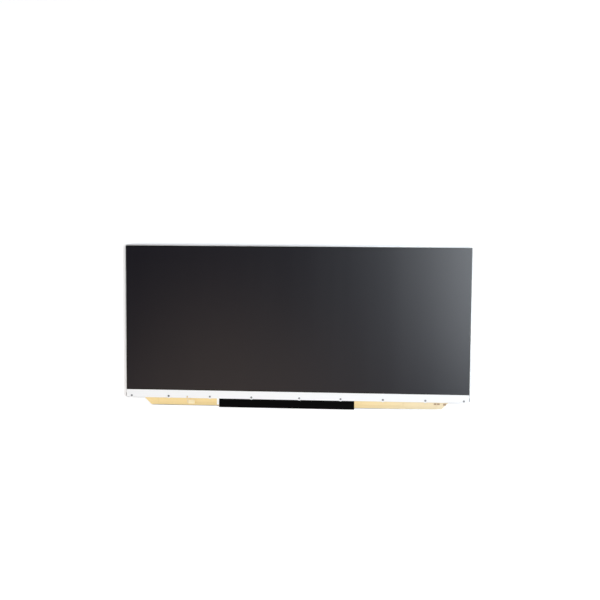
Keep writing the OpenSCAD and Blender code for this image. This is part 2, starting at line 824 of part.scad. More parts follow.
// Small chip capacitors: beside the posts, and in a row under the insulating sheet
module board_capacitors() {
    row_from = foam_w - sheet_left;
    row_to = sheet_right - foam_w;
    level = board_top_z + cap_h / 2;
    color([0.62, 0.5, 0.38]) {
        for (i = [1 : 3], side = [-1, 1], edge = [-1, 1]) on_side(side)
            translate([post_x(i) + edge * (post_r + post_clear + cap_off_post), screw_y, level])
                cube([cap_d, cap_w, cap_h], center = true);
        for (x = [row_from : cap_pitch : row_to]) if (abs(x - middle_x) > board_split)
            translate([x, mouth_y + socket_d + cap_off_socket, level])
                cube([cap_w, cap_d, cap_h], center = true);
    }
}

// Tan moulded capacitors near the right board's outer end: each has its distance from the board's
// end, its length and its width, and their upper edges are in line
module moulded_capacitors() {
    color([0.72, 0.56, 0.42]) for (part = [[34, 6, 3.2], [26.4, 6, 3.2], [12.2, 7.3, 4.3]])
        translate([board_end(1) - part[0], board_low + board_bevel - mould_drop - part[2], board_top_z])
            cube([part[1], part[2], mould_h]);
}

// A socket for a flat cable, its mouth at Y = 0 towards -Y, standing on the XY plane
module cable_socket() {
    difference() {
        union() {
            translate([-socket_w / 2, latch_d, 0]) cube([socket_w, socket_d - latch_d, socket_h]);
            translate([-socket_w / 2, 0, 0]) cube([socket_w, latch_d + eps, cable_lift - cable_clear]);
        }
        translate([-cable_w / 2 - cable_side_clear, -past, cable_lift - cable_clear])
            cube([cable_w + 2 * cable_side_clear, past + cable_in + 2 * cable_clear,
                cable_t + 2 * cable_clear]);
    }
}

// The flap that holds the cable in its socket
module cable_latch() {
    translate([-socket_w / 2, 0, cable_lift + cable_t + latch_clear]) cube([socket_w, latch_d, latch_t]);
}

module on_boards() {
    for (side = [-1, 1]) translate([side * cable_x, mouth_y, board_top_z]) children();
}

module on_timing_board() {
    for (side = [-1, 1]) translate([side * cable_x, timing_low, timing_back_z])
        mirror([0, 0, 1]) children();
}

module board_cable_sockets() {
    color([0.92, 0.9, 0.84]) on_boards() cable_socket();
}

module timing_cable_sockets() {
    color([0.92, 0.9, 0.84]) on_timing_board() cable_socket();
}

module cable_latches() {
    color([0.15, 0.15, 0.16]) {
        on_boards() cable_latch();
        on_timing_board() cable_latch();
    }
}

// Flat cable from the source board round the lower edge to the timing board
module flat_cable(side) {
    start = mouth_y + cable_in;
    color([0.9, 0.9, 0.9]) translate([side * cable_x, start, cable_front_z]) rotate([0, 0, -90])
        strip([[start - flange_low, 0], [cable_r, 180], [timing_low + cable_in - flange_low, 0]],
            cable_w, cable_t);
}

// Black sheet over the boards, the cables and the lower edge
module insulating_sheet() {
    color([0.05, 0.05, 0.05]) difference() {
        translate([(sheet_right - sheet_left) / 2, sheet_start, sheet_front_z]) rotate([0, 0, -90])
            strip([[sheet_start - flange_low, 0], [sheet_r, 180], [sheet_end - flange_low, 0]],
                sheet_left + sheet_right, sheet_t);
        post_slots(post_r + post_clear, sheet_front_z - past, sheet_t + 2 * past, sheet_start);
    }
}

// White foam strips that carry the ends of the sheet, on the boards and behind the flange
module foam_strips() {
    deep = foam_top - foam_low;
    color([0.97, 0.97, 0.97]) for (x = [-sheet_left - foam_show, sheet_right - foam_w]) {
        translate([x, foam_low, board_top_z]) cube([foam_w, deep, sheet_front_z - board_top_z]);
        translate([max(x, -sheet_left), flange_low, sheet_back_z])
            cube([foam_back, sheet_end - foam_setback - flange_low, rear_depth - sheet_back_z]);
    }
}

module backlight_socket() {
    mouth = lead_w + 2 * mouth_clear;
    color([0.96, 0.9, 0.76]) translate([light_socket_x, light_socket_low, board_top_z]) difference() {
        cube([light_socket_w, light_socket_d, light_socket_h]);
        translate([-past, lead_rise - mouth / 2, -past])
            cube([past + lead_in + 2 * mouth_clear, mouth, past + lead_h + mouth_clear]);
        for (x = [0.3, 0.7]) translate([light_socket_w * x - window_w / 2,
                light_socket_d - window_inset - window_d, light_socket_h - window_deep])
            cube([window_w, window_d, window_deep + past]);
    }
}

// Two-core lead from the light bar to its socket
module backlight_lead() {
    centre_r = lead_r + lead_w / 2;
    color([0.86, 0.82, 0.74]) translate([lead_from_x + lead_w / 2, led_board_y, board_top_z + lead_h / 2])
        rotate([90, 0, -90]) strip([
            [led_board_y - lead_cross_y - centre_r, 0], [lead_r, -90],
            [lead_from_x - lead_show_x - 2 * centre_r, 0], [lead_r, 90],
            [lead_cross_y - lead_entry_y - 2 * centre_r, 0], [lead_r, 90],
            [light_socket_x + lead_in - lead_show_x - centre_r, 0]], lead_h, lead_w);
}

module at_timing_screws(z) {
    for (x = [-1, 1], y = [-1, 1])
        translate([x * timing_screw_x, timing_y + y * timing_screw_y, z]) children();
}

module timing_board() {
    color([0.1, 0.35, 0.25]) difference() {
        translate([-timing_w / 2, timing_low, timing_back_z]) cube([timing_w, timing_h, timing_t]);
        at_timing_screws(timing_back_z - past) cylinder(h = timing_t + 2 * past, r = timing_hole_r);
    }
}

module timing_controller() {
    color([0.08, 0.08, 0.09])
        translate([-controller_w / 2, timing_y - controller_w / 2, timing_back_z - controller_h])
            cube([controller_w, controller_w, controller_h]);
}

module timing_chips() {
    color([0.12, 0.12, 0.13]) for (chip = timing_packages)
        translate([chip[0] - chip[2] / 2, timing_y + chip[1] - chip[3] / 2, timing_back_z - chip_h])
            cube([chip[2], chip[3], chip_h]);
}

module thermal_pad() {
    wide = controller_w - 2 * pad_inset;
    low = cover_clear + cover_t;
    color([0.55, 0.6, 0.7]) translate([-wide / 2, timing_y - wide / 2, low])
        cube([wide, wide, timing_back_z - controller_h - low]);
}

// Shell socket for the picture signal at the timing board's upper edge
module signal_socket() {
    color([0.78, 0.78, 0.76])
        translate([signal_x, timing_top - signal_d, timing_back_z - signal_h]) difference() {
            cube([signal_w, signal_d, signal_h]);
            translate([signal_wall, signal_deep, signal_floor])
                cube([signal_w - 2 * signal_wall, signal_d - signal_deep + past, signal_mouth]);
        }
}

// Shield box over the timing board, with ventilation slots and four ears
module timing_cover() {
    deep = timing_back_z - cover_clear;
    color([0.75, 0.76, 0.77]) difference() {
        union() {
            translate([-cover_w / 2, timing_y - cover_h / 2, cover_clear]) cube([cover_w, cover_h, deep]);
            for (x = [-1, 1], y = [-1, 1]) on_side(x)
                translate([cover_w / 2 - ear_root, timing_y + y * timing_screw_y - ear_d / 2,
                        timing_back_z - cover_t])
                    cube([timing_screw_x + ear_end + ear_root - cover_w / 2, ear_d, cover_t]);
        }
        translate([cover_t - cover_w / 2, timing_y - cover_h / 2 + cover_t, cover_clear + cover_t])
            cube([cover_w - 2 * cover_t, cover_h - 2 * cover_t, deep]);
        at_timing_screws(timing_back_z - cover_t - past)
            cylinder(h = cover_t + 2 * past, r = timing_hole_r);
        for (row = [1 : vent_rows], col = [1 : vent_cols])
            translate([(col - (vent_cols + 1) / 2) * cover_w / (vent_cols + 0.5),
                    timing_y + (row - (vent_rows + 1) / 2) * cover_h / (vent_rows + 0.5),
                    cover_clear - past]) {
                translate([-vent_len / 2 + vent_w / 2, -vent_w / 2, 0])
                    cube([vent_len - vent_w, vent_w, cover_t + 2 * past]);
                for (end = [-1, 1]) translate([end * (vent_len - vent_w) / 2, 0, 0])
                    cylinder(h = cover_t + 2 * past, r = vent_w / 2);
            }
    }
}

module timing_screws() {
    color([0.6, 0.6, 0.62]) at_timing_screws(timing_back_z - cover_t) mirror([0, 0, 1])
        screw(timing_head_r, timing_head_h, timing_screw_r, timing_screw_len);
}

back_chassis();
clinch_nuts();
reflector_sheet();
light_guide();
light_guide_pads();
diffuser_sheet();
prism_sheet();
upper_diffuser();
led_strip_board();
led_packages();
led_phosphors();
led_heat_sink();
middle_frame();
cell_tape();
rear_polarizer();
array_glass();
filter_glass();
front_polarizer();
front_rail();
rail_screws();
rail_posts();
source_board(-1);  // source_board_left
source_board(1);  // source_board_right
board_liner(-1);  // board_liner_left
board_liner(1);  // board_liner_right
source_film(1);  // source_film_1
source_film(2);  // source_film_2
source_film(3);  // source_film_3
source_film(4);  // source_film_4
source_film(5);  // source_film_5
source_film(6);  // source_film_6
source_film(7);  // source_film_7
source_film(8);  // source_film_8
driver_chips();
board_capacitors();
moulded_capacitors();
board_cable_sockets();
flat_cable(-1);  // flat_cable_left
flat_cable(1);  // flat_cable_right
insulating_sheet();
foam_strips();
backlight_socket();
backlight_lead();
timing_board();
timing_controller();
timing_chips();
thermal_pad();
timing_cable_sockets();
cable_latches();
signal_socket();
timing_cover();
timing_screws();
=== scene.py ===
# %% [markdown]
# # An ultrawide screen module, dressed over its solids
#
# The part is a bare liquid crystal module: a stamped steel tray that holds a light guide, a stack
# of films and two sheets of glass, with a white rail and two cream circuit boards along its lower
# edge. The solids already have their real size and place, so the work here is the finish of each
# surface, the rounding of the edges that catch light, and the small things that come in rows:
# terminals, chip legs, solder tails and traces.
#
# Everything is in metres and stays where the solids are. The first cell loads them.

# %% Load the solids
import bpy
import bmesh
import math
from mathutils import Matrix, Vector


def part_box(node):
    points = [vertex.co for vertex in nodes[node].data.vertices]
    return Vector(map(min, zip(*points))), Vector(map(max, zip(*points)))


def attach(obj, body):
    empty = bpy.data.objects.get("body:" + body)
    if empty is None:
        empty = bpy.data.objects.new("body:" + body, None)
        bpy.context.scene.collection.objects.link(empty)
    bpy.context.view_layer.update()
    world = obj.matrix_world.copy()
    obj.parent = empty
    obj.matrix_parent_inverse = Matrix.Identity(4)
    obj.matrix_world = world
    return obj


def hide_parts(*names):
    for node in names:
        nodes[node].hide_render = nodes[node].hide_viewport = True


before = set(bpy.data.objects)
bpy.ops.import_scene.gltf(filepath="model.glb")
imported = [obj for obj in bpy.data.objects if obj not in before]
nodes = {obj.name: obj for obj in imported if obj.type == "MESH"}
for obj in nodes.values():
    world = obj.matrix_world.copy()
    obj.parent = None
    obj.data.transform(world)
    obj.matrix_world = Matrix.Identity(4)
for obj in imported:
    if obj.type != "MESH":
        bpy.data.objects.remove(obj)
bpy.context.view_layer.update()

# %% [markdown]
# ## The camera
#
# The photograph looks down on the screen, a little turned. Its corners, the rail and the screws
# were matched to the known points of the part, which gives a 50 mm lens almost two metres above
# the screen, with about four degrees of tilt both ways. A camera could be aimed with a Track To
# constraint, but the match also gives its roll, so the three turns are set as they were found. A
# camera looks along its own -Z axis, so its matrix is the place times the transposed turn.

# %% Set the camera
camera_place = Vector((0.1295, 0.1770, 1.9476))
camera_turn = [math.radians(angle) for angle in (3.867, -3.582, -0.659)]

camera_data = bpy.data.cameras.new("camera")
camera_data.lens = 50
camera_data.sensor_width = 36
camera = bpy.data.objects.new("camera", camera_data)
bpy.context.scene.collection.objects.link(camera)
world_to_camera = (Matrix.Rotation(camera_turn[2], 3, "Z") @ Matrix.Rotation(camera_turn[1], 3, "Y")
                   @ Matrix.Rotation(camera_turn[0], 3, "X"))
camera.matrix_world = Matrix.Translation(camera_place) @ world_to_camera.transposed().to_4x4()
bpy.context.scene.camera = camera
bpy.context.scene.view_settings.view_transform = "Standard"
print("camera at", [round(value, 3) for value in camera_place])

# %% [markdown]
# ## A short way to build node trees
#
# Materials, the world and Geometry Nodes are all trees of nodes. Each node could be made and linked
# in four or five lines, but then the pattern is lost between them. One helper adds a node, sets its
# options and fills its sockets: a socket that gets another node's output is linked, and any other
# value is typed into it. Constant values of a shader stay on its own sockets that way.

# %% Helpers for nodes
def add(tree, kind, inputs=None, **options):
    """Adds a node; inputs maps a socket's name or number to a value or to another node's output."""
    node = tree.nodes.new(kind)
    for name, value in options.items():
        setattr(node, name, value)
    for key, value in (inputs or {}).items():
        if isinstance(value, bpy.types.NodeSocket):
            tree.links.new(value, node.inputs[key])
        else:
            node.inputs[key].default_value = value
    return node


def maths(tree, operation, *values):
    """The result of one Math node, in a material, the world or a geometry tree."""
    return add(tree, "ShaderNodeMath", dict(enumerate(values)), operation=operation).outputs[0]


print("helpers:", add.__name__, maths.__name__)

# %% [markdown]
# ## Studio light
#
# The screen is a matte black film: almost all that is seen of it is the soft reflection of a large
# lamp, bright at the upper right and gone at the left. So the key is one wide softbox to the right,
# where the camera's mirrored view from the right half of the screen meets it. A faint warm panel at
# the front left gives the film its slightly warm left side. Two low side lamps and the world lift
# the white rail and the boards. These two stay out of reflections, so that a low view of the screen
# shows a grey film and no white lamp.

# %% A softbox
def softbox(name, place, target, width, height, radiance, colour=(1.0, 1.0, 1.0)):
    """A rectangular lamp of a given radiance, aimed at a target."""
    lamp = bpy.data.lights.new(name, "AREA")
    lamp.shape = "RECTANGLE"
    lamp.size, lamp.size_y = width, height
    lamp.energy = radiance * math.pi * width * height
    lamp.color = colour
    holder = bpy.data.objects.new(name, lamp)
    holder.location = place
    holder.rotation_euler = (Vector(target) - Vector(place)).to_track_quat("-Z", "Y").to_euler()
    holder.visible_camera = False
    bpy.context.scene.collection.objects.link(holder)
    return holder


print("softbox ready")

# %% Lamps
cool_white = (0.87, 0.935, 1.0)
warm_white = (1.0, 0.775, 0.61)
# each with its place, target, width, height and radiance
softbox("key_softbox", (0.96, 0.17, 2.0), (0.1, 0.0, 0.0), 1.37, 0.62, 12.9, cool_white)
softbox("warm_panel", (-0.50, -0.85, 1.9), (0.0, 0.0, 0.0), 1.14, 1.40, 1.16, warm_white)
left_strip = softbox("left_strip", (-2.2, -0.3, 1.1), (0.0, 0.0, 0.0), 0.8, 1.6, 4.6)
front_strip = softbox("front_strip", (-0.6, -2.5, 0.9), (-0.2, -0.1, 0.0), 2.0, 0.7, 3.2)
for strip in (left_strip, front_strip):
    strip.visible_glossy = False

# %% [markdown]
# ## The room
#
# The world is a pale room: white round the horizon, where low views and metal see it, and dim
# overhead, so that the screen stays dark. A picture of a studio could stand in for it, but a height
# and two brightnesses say it all. Camera rays see white everywhere, since the photograph's ground
# has no horizon.

# %% World
dim_overhead = 0.10
world = bpy.data.worlds.new("pale_room")
bpy.context.scene.world = world
world.use_nodes = True
tree = world.node_tree
sky = tree.nodes["Background"]
sky.inputs["Color"].default_value = (0.97, 0.985, 1.0, 1)
height = add(tree, "ShaderNodeSeparateXYZ",
             {"Vector": add(tree, "ShaderNodeTexCoord").outputs["Generated"]}).outputs["Z"]
overhead = add(tree, "ShaderNodeMapRange",
               {"Value": height, "From Min": 0.30, "From Max": 0.50, "To Min": 1.0,
                "To Max": dim_overhead})
seen = add(tree, "ShaderNodeLightPath").outputs["Is Camera Ray"]
tree.links.new(maths(tree, "MAXIMUM", overhead.outputs[0], seen), sky.inputs["Strength"])
print("world", world.name, "is", dim_overhead, "overhead")

# %% [markdown]
# ## The floor
#
# The photograph's ground is pure white. A floor of white paint alone would come out grey at this
# level of light, so its material adds a little glow, only for rays that come from the camera or
# from a reflection. The shadow of the module stays on it. Far from the lamps the floor gets less of
# their light, so the glow rises with the distance and meets the white horizon.

# %% Floor
floor_size = 60
near_glow, far_glow = 0.35, 0.85
near_edge, far_edge = 1.5, 5.0
bpy.ops.mesh.primitive_plane_add(size=floor_size, location=(0, 0, 0))
floor = bpy.context.object
floor.name = "studio_floor"
floor_paint = bpy.data.materials.new("studio_floor")
floor_paint.use_nodes = True
tree = floor_paint.node_tree
tree.nodes.clear()
path = add(tree, "ShaderNodeLightPath").outputs
seen = maths(tree, "MAXIMUM", path["Is Camera Ray"],
             maths(tree, "MAXIMUM", path["Is Glossy Ray"], path["Is Transmission Ray"]))
place = add(tree, "ShaderNodeTexCoord").outputs["Object"]
distance = add(tree, "ShaderNodeVectorMath", {0: place}, operation="LENGTH").outputs["Value"]
level = add(tree, "ShaderNodeMapRange",
            {"Value": distance, "From Min": near_edge, "From Max": far_edge,
             "To Min": near_glow, "To Max": far_glow})
glow = add(tree, "ShaderNodeEmission", {"Strength": maths(tree, "MULTIPLY", seen, level.outputs[0])})
paint = add(tree, "ShaderNodeBsdfDiffuse", {"Color": (0.82, 0.82, 0.82, 1)})
both = add(tree, "ShaderNodeAddShader", {0: paint.outputs[0], 1: glow.outputs[0]})
add(tree, "ShaderNodeOutputMaterial", {"Surface": both.outputs[0]})
floor.data.materials.append(floor_paint)
print("floor of", floor_size, "m, its glow", near_glow, "to", far_glow)

# %% [markdown]
# ## Tools for the finishes
#
# Every finish is one Principled shader on the part's own coordinates, so a pattern has its real
# size everywhere: a noise of scale 1000 has grains of about a millimetre. Pictures of surfaces would
# need an unwrapped mesh and a scale for each piece, and these need neither. The helpers below give
# the coordinates, a noise, stripes of a given pitch, a blend of two colours and a bump.

# %% Helpers for materials
def start_finish(name, colour, roughness, metallic=0.0, specular=0.5):
    """A new material: its tree, its shader and the part's coordinates."""
    material = bpy.data.materials.new(name)
    material.use_nodes = True
    tree = material.node_tree
    shader = tree.nodes["Principled BSDF"]
    shader.inputs["Base Color"].default_value = (*colour, 1)
    shader.inputs["Roughness"].default_value = roughness
    shader.inputs["Metallic"].default_value = metallic
    shader.inputs["Specular IOR Level"].default_value = specular
    place = add(tree, "ShaderNodeTexCoord").outputs["Object"]
    return material, tree, shader, place


def stretched(tree, place, x=1.0, y=1.0, z=1.0):
    """Coordinates scaled along each axis, for streaks."""
    return add(tree, "ShaderNodeMapping", {"Vector": place, "Scale": (x, y, z)}).outputs[0]


def noise(tree, place, scale, detail=2.0, roughness=0.5):
    """A cloud of values round 0.5, with grains of about 1 / scale metres."""
    return add(tree, "ShaderNodeTexNoise", {"Vector": place, "Scale": scale, "Detail": detail,
                                            "Roughness": roughness}).outputs[0]


def stripes(tree, place, axis, pitch, share=0.5):
    """1 on stripes that repeat every pitch metres along an axis, and 0 between them."""
    along = add(tree, "ShaderNodeSeparateXYZ", {"Vector": place}).outputs[axis]
    turn = maths(tree, "FRACT", maths(tree, "DIVIDE", along, pitch))
    return maths(tree, "LESS_THAN", turn, share)


def limits(tree, value, low, high, to_low=0.0, to_high=1.0):
    """The value brought from one range to another, and held there."""
    return add(tree, "ShaderNodeMapRange", {"Value": value, "From Min": low, "From Max": high,
                                            "To Min": to_low, "To Max": to_high}).outputs[0]


def blend(tree, factor, first, second):
    """One colour going over into another; a colour is three numbers or an output."""
    sides = {key: value if isinstance(value, bpy.types.NodeSocket) else (*value, 1)
             for key, value in ((6, first), (7, second))}
    return add(tree, "ShaderNodeMix", {0: factor, **sides}, data_type="RGBA").outputs[2]


def emboss(tree, shader, height, depth, strength):
    """Bump of a given depth in metres."""
    bump = add(tree, "ShaderNodeBump", {"Height": height, "Distance": depth, "Strength": strength})
    tree.links.new(bump.outputs[0], shader.inputs["Normal"])


def paint_with(tree, shader, colour, roughness=None):
    """Links a colour and, if there is one, a roughness pattern to the shader."""
    tree.links.new(colour, shader.inputs["Base Color"])
    if roughness is not None:
        tree.links.new(roughness, shader.inputs["Roughness"])


finishes = {}
print("helpers ready, finishes so far:", len(finishes))

# %% [markdown]
# ## The screen film
#
# The front polarizer is a grey film with an anti-glare coat: fine silica grains that scatter the
# reflection wide, so the film shows a soft haze instead of a mirror image. Off, the picture area is
# charcoal, and the printed border round it is deeper black. A gradient painted on the film would
# look right from one side only, so the base colour is almost nothing, and the roughness and the
# softbox make the haze. Slow bands along the width come from the coating's roll.

# %% Screen film
lit_half_width = 0.3999
lit_half_height = 0.1674


def screen_film():
    material, tree, shader, place = start_finish("screen_film", (0.0023, 0.0021, 0.0062), 0.326)
    axes = add(tree, "ShaderNodeSeparateXYZ", {"Vector": place}).outputs
    past_x = maths(tree, "GREATER_THAN", maths(tree, "ABSOLUTE", axes["X"]), lit_half_width)
    past_y = maths(tree, "GREATER_THAN", maths(tree, "ABSOLUTE", axes["Y"]), lit_half_height)
    border = maths(tree, "MAXIMUM", past_x, past_y)
    cloud = noise(tree, place, 5.0, 1.0)
    charcoal = blend(tree, cloud, (0.0018, 0.0018, 0.0055), (0.0030, 0.0026, 0.0068))
    colour = blend(tree, border, charcoal, (0.0012, 0.0012, 0.0016))
    bands = noise(tree, stretched(tree, place, 1.0, 0.06), 34.0, 1.0)
    paint_with(tree, shader, colour, limits(tree, bands, 0.3, 0.7, 0.318, 0.334))
    emboss(tree, shader, noise(tree, place, 5200.0, 2.0), 0.000012, 0.35)
    return material


finishes["screen_film"] = screen_film()
print("screen film, lit area", 2 * lit_half_width, "by", 2 * lit_half_height)

# %% [markdown]
# ## White paint
#
# The rail is thin steel under white powder paint. The paint flows before it sets, and leaves an
# orange peel of millimetre size and a gloss that wanders a little. The peel could be real relief,
# but it is too shallow to show on an edge, so a bump does it. A cloud varies white and gloss.

# %% Rail paint
def rail_paint():
    material, tree, shader, place = start_finish("rail_paint", (0.90, 0.90, 0.895), 0.38)
    cloud = noise(tree, place, 60.0, 3.0)
    colour = blend(tree, cloud, (0.888, 0.887, 0.88), (0.915, 0.914, 0.908))
    paint_with(tree, shader, colour, limits(tree, cloud, 0.3, 0.7, 0.34, 0.42))
    emboss(tree, shader, noise(tree, place, 850.0, 1.5), 0.00003, 0.5)
    return material


finishes["rail_paint"] = rail_paint()
print("finishes so far:", len(finishes))

# %% [markdown]
# ## Circuit boards
#
# The source boards are cream: a pale lacquer over the laminate, with the weave of the glass cloth
# faint under it and a warmer tone along the cut edge. Towards the right end the colour goes paler
# and whiter: that is painted sheen of the key softbox on the right, not a tone of the lacquer. The
# timing board has the usual green mask. The edge could be a material of its own on its own faces,
# but the height of a point already tells edge from face, so one function with two sets of colours
# does both boards.

# %% Board lacquers
weave_pitch = 0.0009
lacquer_t = 0.00006
# where along X the face starts to go over into the painted sheen of the key softbox, and where it is
# full
sheen_start_x, sheen_full_x = 0.12, 0.37


def board_lacquer(name, colour, shade, sheen_end, edge, levels):
    """A lacquered board; levels are the heights of its two faces, where the edge colour stops."""
    material, tree, shader, place = start_finish(name, colour, 0.42)
    axes = add(tree, "ShaderNodeSeparateXYZ", {"Vector": place}).outputs
    weave_x = stripes(tree, place, "X", weave_pitch)
    weave_y = stripes(tree, place, "Y", weave_pitch)
    weave = maths(tree, "ABSOLUTE", maths(tree, "SUBTRACT", weave_x, weave_y))
    cloud = noise(tree, place, 180.0, 3.0)
    tone = maths(tree, "ADD", maths(tree, "MULTIPLY", weave, 0.12),
                 maths(tree, "MULTIPLY", cloud, 0.5))
    # painted sheen: towards the right end the face goes over into a paler colour where the key softbox
    # lights and reflects most
    painted_sheen = limits(tree, axes["X"], sheen_start_x, sheen_full_x)
    face = blend(tree, painted_sheen, blend(tree, tone, colour, shade), sheen_end)
    middle = (levels[0] + levels[1]) / 2
    off_middle = maths(tree, "ABSOLUTE", maths(tree, "SUBTRACT", axes["Z"], middle))
    inside = maths(tree, "LESS_THAN", off_middle, (levels[1] - levels[0]) / 2 - lacquer_t)
    paint_with(tree, shader, blend(tree, inside, face, edge),
               limits(tree, cloud, 0.3, 0.7, 0.36, 0.48))
    emboss(tree, shader, noise(tree, place, 1500.0, 2.0), 0.00001, 0.4)
    return material


print("board lacquer ready, weave of", weave_pitch)

# %% Cream and green boards
cream_levels = [corner.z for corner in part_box("source_board_left")]
green_levels = [corner.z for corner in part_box("timing_board")]
cream = (0.91, 0.70, 0.34)
cream_shade = (0.86, 0.65, 0.30)
# the pale colour below is painted sheen of the key softbox at the right end, not a tone of the lacquer
cream_sheen_end = (0.835, 0.71, 0.49)
cream_edge = (0.80, 0.50, 0.17)
finishes["cream_lacquer"] = board_lacquer("cream_lacquer", cream, cream_shade, cream_sheen_end, cream_edge,
                                          cream_levels)
# the traces under the lacquer take the same painted sheen at the right end, a little darker
over_copper = [tuple(0.95 * value for value in colour)
               for colour in (cream, cream_shade, cream_sheen_end)]
finishes["lacquered_trace"] = board_lacquer("lacquered_trace", *over_copper, cream_edge,
                                            cream_levels)
green = (0.008, 0.085, 0.040)
finishes["green_mask"] = board_lacquer("green_mask", green, (0.014, 0.13, 0.062), green,
                                       (0.42, 0.38, 0.16), green_levels)
print("boards between", [round(level, 4) for level in cream_levels + green_levels])

# %% [markdown]
# ## Films, foam and rubber
#
# The black sheet is a polyester film, smooth with a slow ripple. The source films are amber
# polyimide with copper leads that run from the glass to the board. The leads could be drawn as a
# mesh, but there are a hundred to a film, so they are stripes. These only follow X, and so go round
# each bend by themselves. Foam has closed cells, rubber a fine grain.

# %% Black sheet and source films
film_lead_pitch = 0.00044


def black_sheet():
    material, tree, shader, place = start_finish("black_sheet", (0.0012, 0.0012, 0.0013), 0.5,
                                                 specular=0.04)
    cloud = noise(tree, place, 30.0, 2.0)
    paint_with(tree, shader, blend(tree, cloud, (0.0009, 0.0009, 0.001), (0.0018, 0.0018, 0.0019)),
               limits(tree, cloud, 0.3, 0.7, 0.46, 0.56))
    emboss(tree, shader, noise(tree, stretched(tree, place, 0.4, 1.0), 70.0, 1.0), 0.00012, 0.5)
    return material


def amber_film():
    material, tree, shader, place = start_finish("amber_film", (0.36, 0.20, 0.07), 0.3)
    lead = stripes(tree, place, "X", film_lead_pitch, 0.45)
    cloud = noise(tree, place, 240.0, 2.0)
    film = blend(tree, cloud, (0.33, 0.18, 0.06), (0.42, 0.25, 0.09))
    paint_with(tree, shader, blend(tree, lead, film, (0.55, 0.37, 0.18)),
               limits(tree, lead, 0.0, 1.0, 0.30, 0.36))
    emboss(tree, shader, lead, 0.000015, 0.6)
    return material


finishes["black_sheet"] = black_sheet()
finishes["amber_film"] = amber_film()
print("finishes so far:", len(finishes))

# %% Foam and rubber
def closed_cell_foam():
    material, tree, shader, place = start_finish("closed_cell_foam", (0.92, 0.92, 0.91), 0.75,
                                                 specular=0.3)
    cells = add(tree, "ShaderNodeTexVoronoi", {"Vector": place, "Scale": 2600.0}).outputs["Distance"]
    paint_with(tree, shader, blend(tree, cells, (0.86, 0.86, 0.85), (0.95, 0.95, 0.94)))
    emboss(tree, shader, cells, 0.0001, 0.6)
    return material


def grained_rubber():
    material, tree, shader, place = start_finish("grained_rubber", (0.018, 0.018, 0.019), 0.7,
                                                 specular=0.35)
    cloud = noise(tree, place, 900.0, 3.0)
    paint_with(tree, shader, blend(tree, cloud, (0.013, 0.013, 0.014), (0.028, 0.028, 0.029)))
    emboss(tree, shader, cloud, 0.00005, 0.6)
    return material


finishes["closed_cell_foam"] = closed_cell_foam()
finishes["grained_rubber"] = grained_rubber()
print("finishes so far:", len(finishes))

# %% [markdown]
# ## Metals
#
# The tray is stamped from electro-galvanised coil: an even, satin grey without the large crystals
# of hot-dip zinc, with fine rolling lines along X and a slow cloud from handling. Screws, posts and
# the shield are nickel or tin plated, and the heat sink is extruded aluminium, drawn along X. The
# Anisotropic socket could draw the lines, but it needs tangents that follow each face. Noise that is
# stretched along one axis does it on any face. All are metallic, so the differences sit in roughness
# more than in colour.

# %% Galvanised steel
def galvanised_steel():
    material, tree, shader, place = start_finish("galvanised_steel", (0.60, 0.612, 0.62), 0.42, 0.95)
    cloud = noise(tree, place, 28.0, 4.0, 0.6)
    grain = noise(tree, place, 1600.0, 2.0)
    streaks = noise(tree, stretched(tree, place, 0.02, 1.0), 1500.0, 2.0)
    tone = maths(tree, "MULTIPLY_ADD", streaks, 0.5, maths(tree, "MULTIPLY", grain, 0.5))
    dull = blend(tree, tone, (0.55, 0.562, 0.57), (0.66, 0.672, 0.68))
    handled = limits(tree, cloud, 0.35, 0.65, 0.0, 0.35)
    paint_with(tree, shader, blend(tree, handled, dull, (0.52, 0.53, 0.545)),
               limits(tree, maths(tree, "ADD", tone, cloud), 0.7, 1.3, 0.36, 0.50))
    emboss(tree, shader, tone, 0.000008, 0.5)
    return material


finishes["galvanised_steel"] = galvanised_steel()
print("finishes so far:", len(finishes))

# %% Plated metals and aluminium
def plated_metal(name, colour, roughness):
    """Bright plating over turned or stamped steel, with short scratches."""
    material, tree, shader, place = start_finish(name, colour, roughness, 1.0)
    cloud = noise(tree, place, 400.0, 3.0)
    scratch = noise(tree, stretched(tree, place, 1.0, 0.08, 1.0), 5200.0, 2.0)
    dull = tuple(value * 0.85 for value in colour)
    paint_with(tree, shader, blend(tree, cloud, dull, colour),
               limits(tree, scratch, 0.3, 0.7, roughness - 0.06, roughness + 0.08))
    emboss(tree, shader, scratch, 0.000005, 0.4)
    return material


def drawn_aluminium():
    material, tree, shader, place = start_finish("drawn_aluminium", (0.78, 0.79, 0.80), 0.34, 1.0)
    lines = noise(tree, stretched(tree, place, 0.01, 1.0, 1.0), 2400.0, 2.0)
    paint_with(tree, shader, blend(tree, lines, (0.72, 0.73, 0.745), (0.84, 0.845, 0.85)),
               limits(tree, lines, 0.3, 0.7, 0.28, 0.42))
    emboss(tree, shader, lines, 0.00001, 0.5)
    return material


finishes["nickel_plate"] = plated_metal("nickel_plate", (0.66, 0.64, 0.60), 0.30)
finishes["dark_nickel"] = plated_metal("dark_nickel", (0.30, 0.30, 0.31), 0.34)
finishes["tin_plate"] = plated_metal("tin_plate", (0.74, 0.75, 0.76), 0.36)
finishes["drawn_aluminium"] = drawn_aluminium()
print("finishes so far:", len(finishes))

# %% [markdown]
# ## Moulded plastics
#
# The moulded frame has a spark-eroded grain. Sockets are ivory nylon, chips are filled epoxy, the
# pad on the controller is grey silicone. They differ in colour, gloss and grain and in nothing
# else, so each is one row of a table instead of a function of its own.

# %% Moulded plastics
def moulded(name, colour, roughness, grain, depth):
    """A moulded plastic with an eroded grain of a given size and depth, in metres."""
    material, tree, shader, place = start_finish(name, colour, roughness)
    rough = noise(tree, place, 1 / grain, 3.0)
    lighter = tuple(min(1.0, value * 1.18 + 0.002) for value in colour)
    paint_with(tree, shader, blend(tree, rough, colour, lighter),
               limits(tree, rough, 0.3, 0.7, roughness - 0.06, roughness + 0.06))
    emboss(tree, shader, rough, depth, 0.6)
    return material


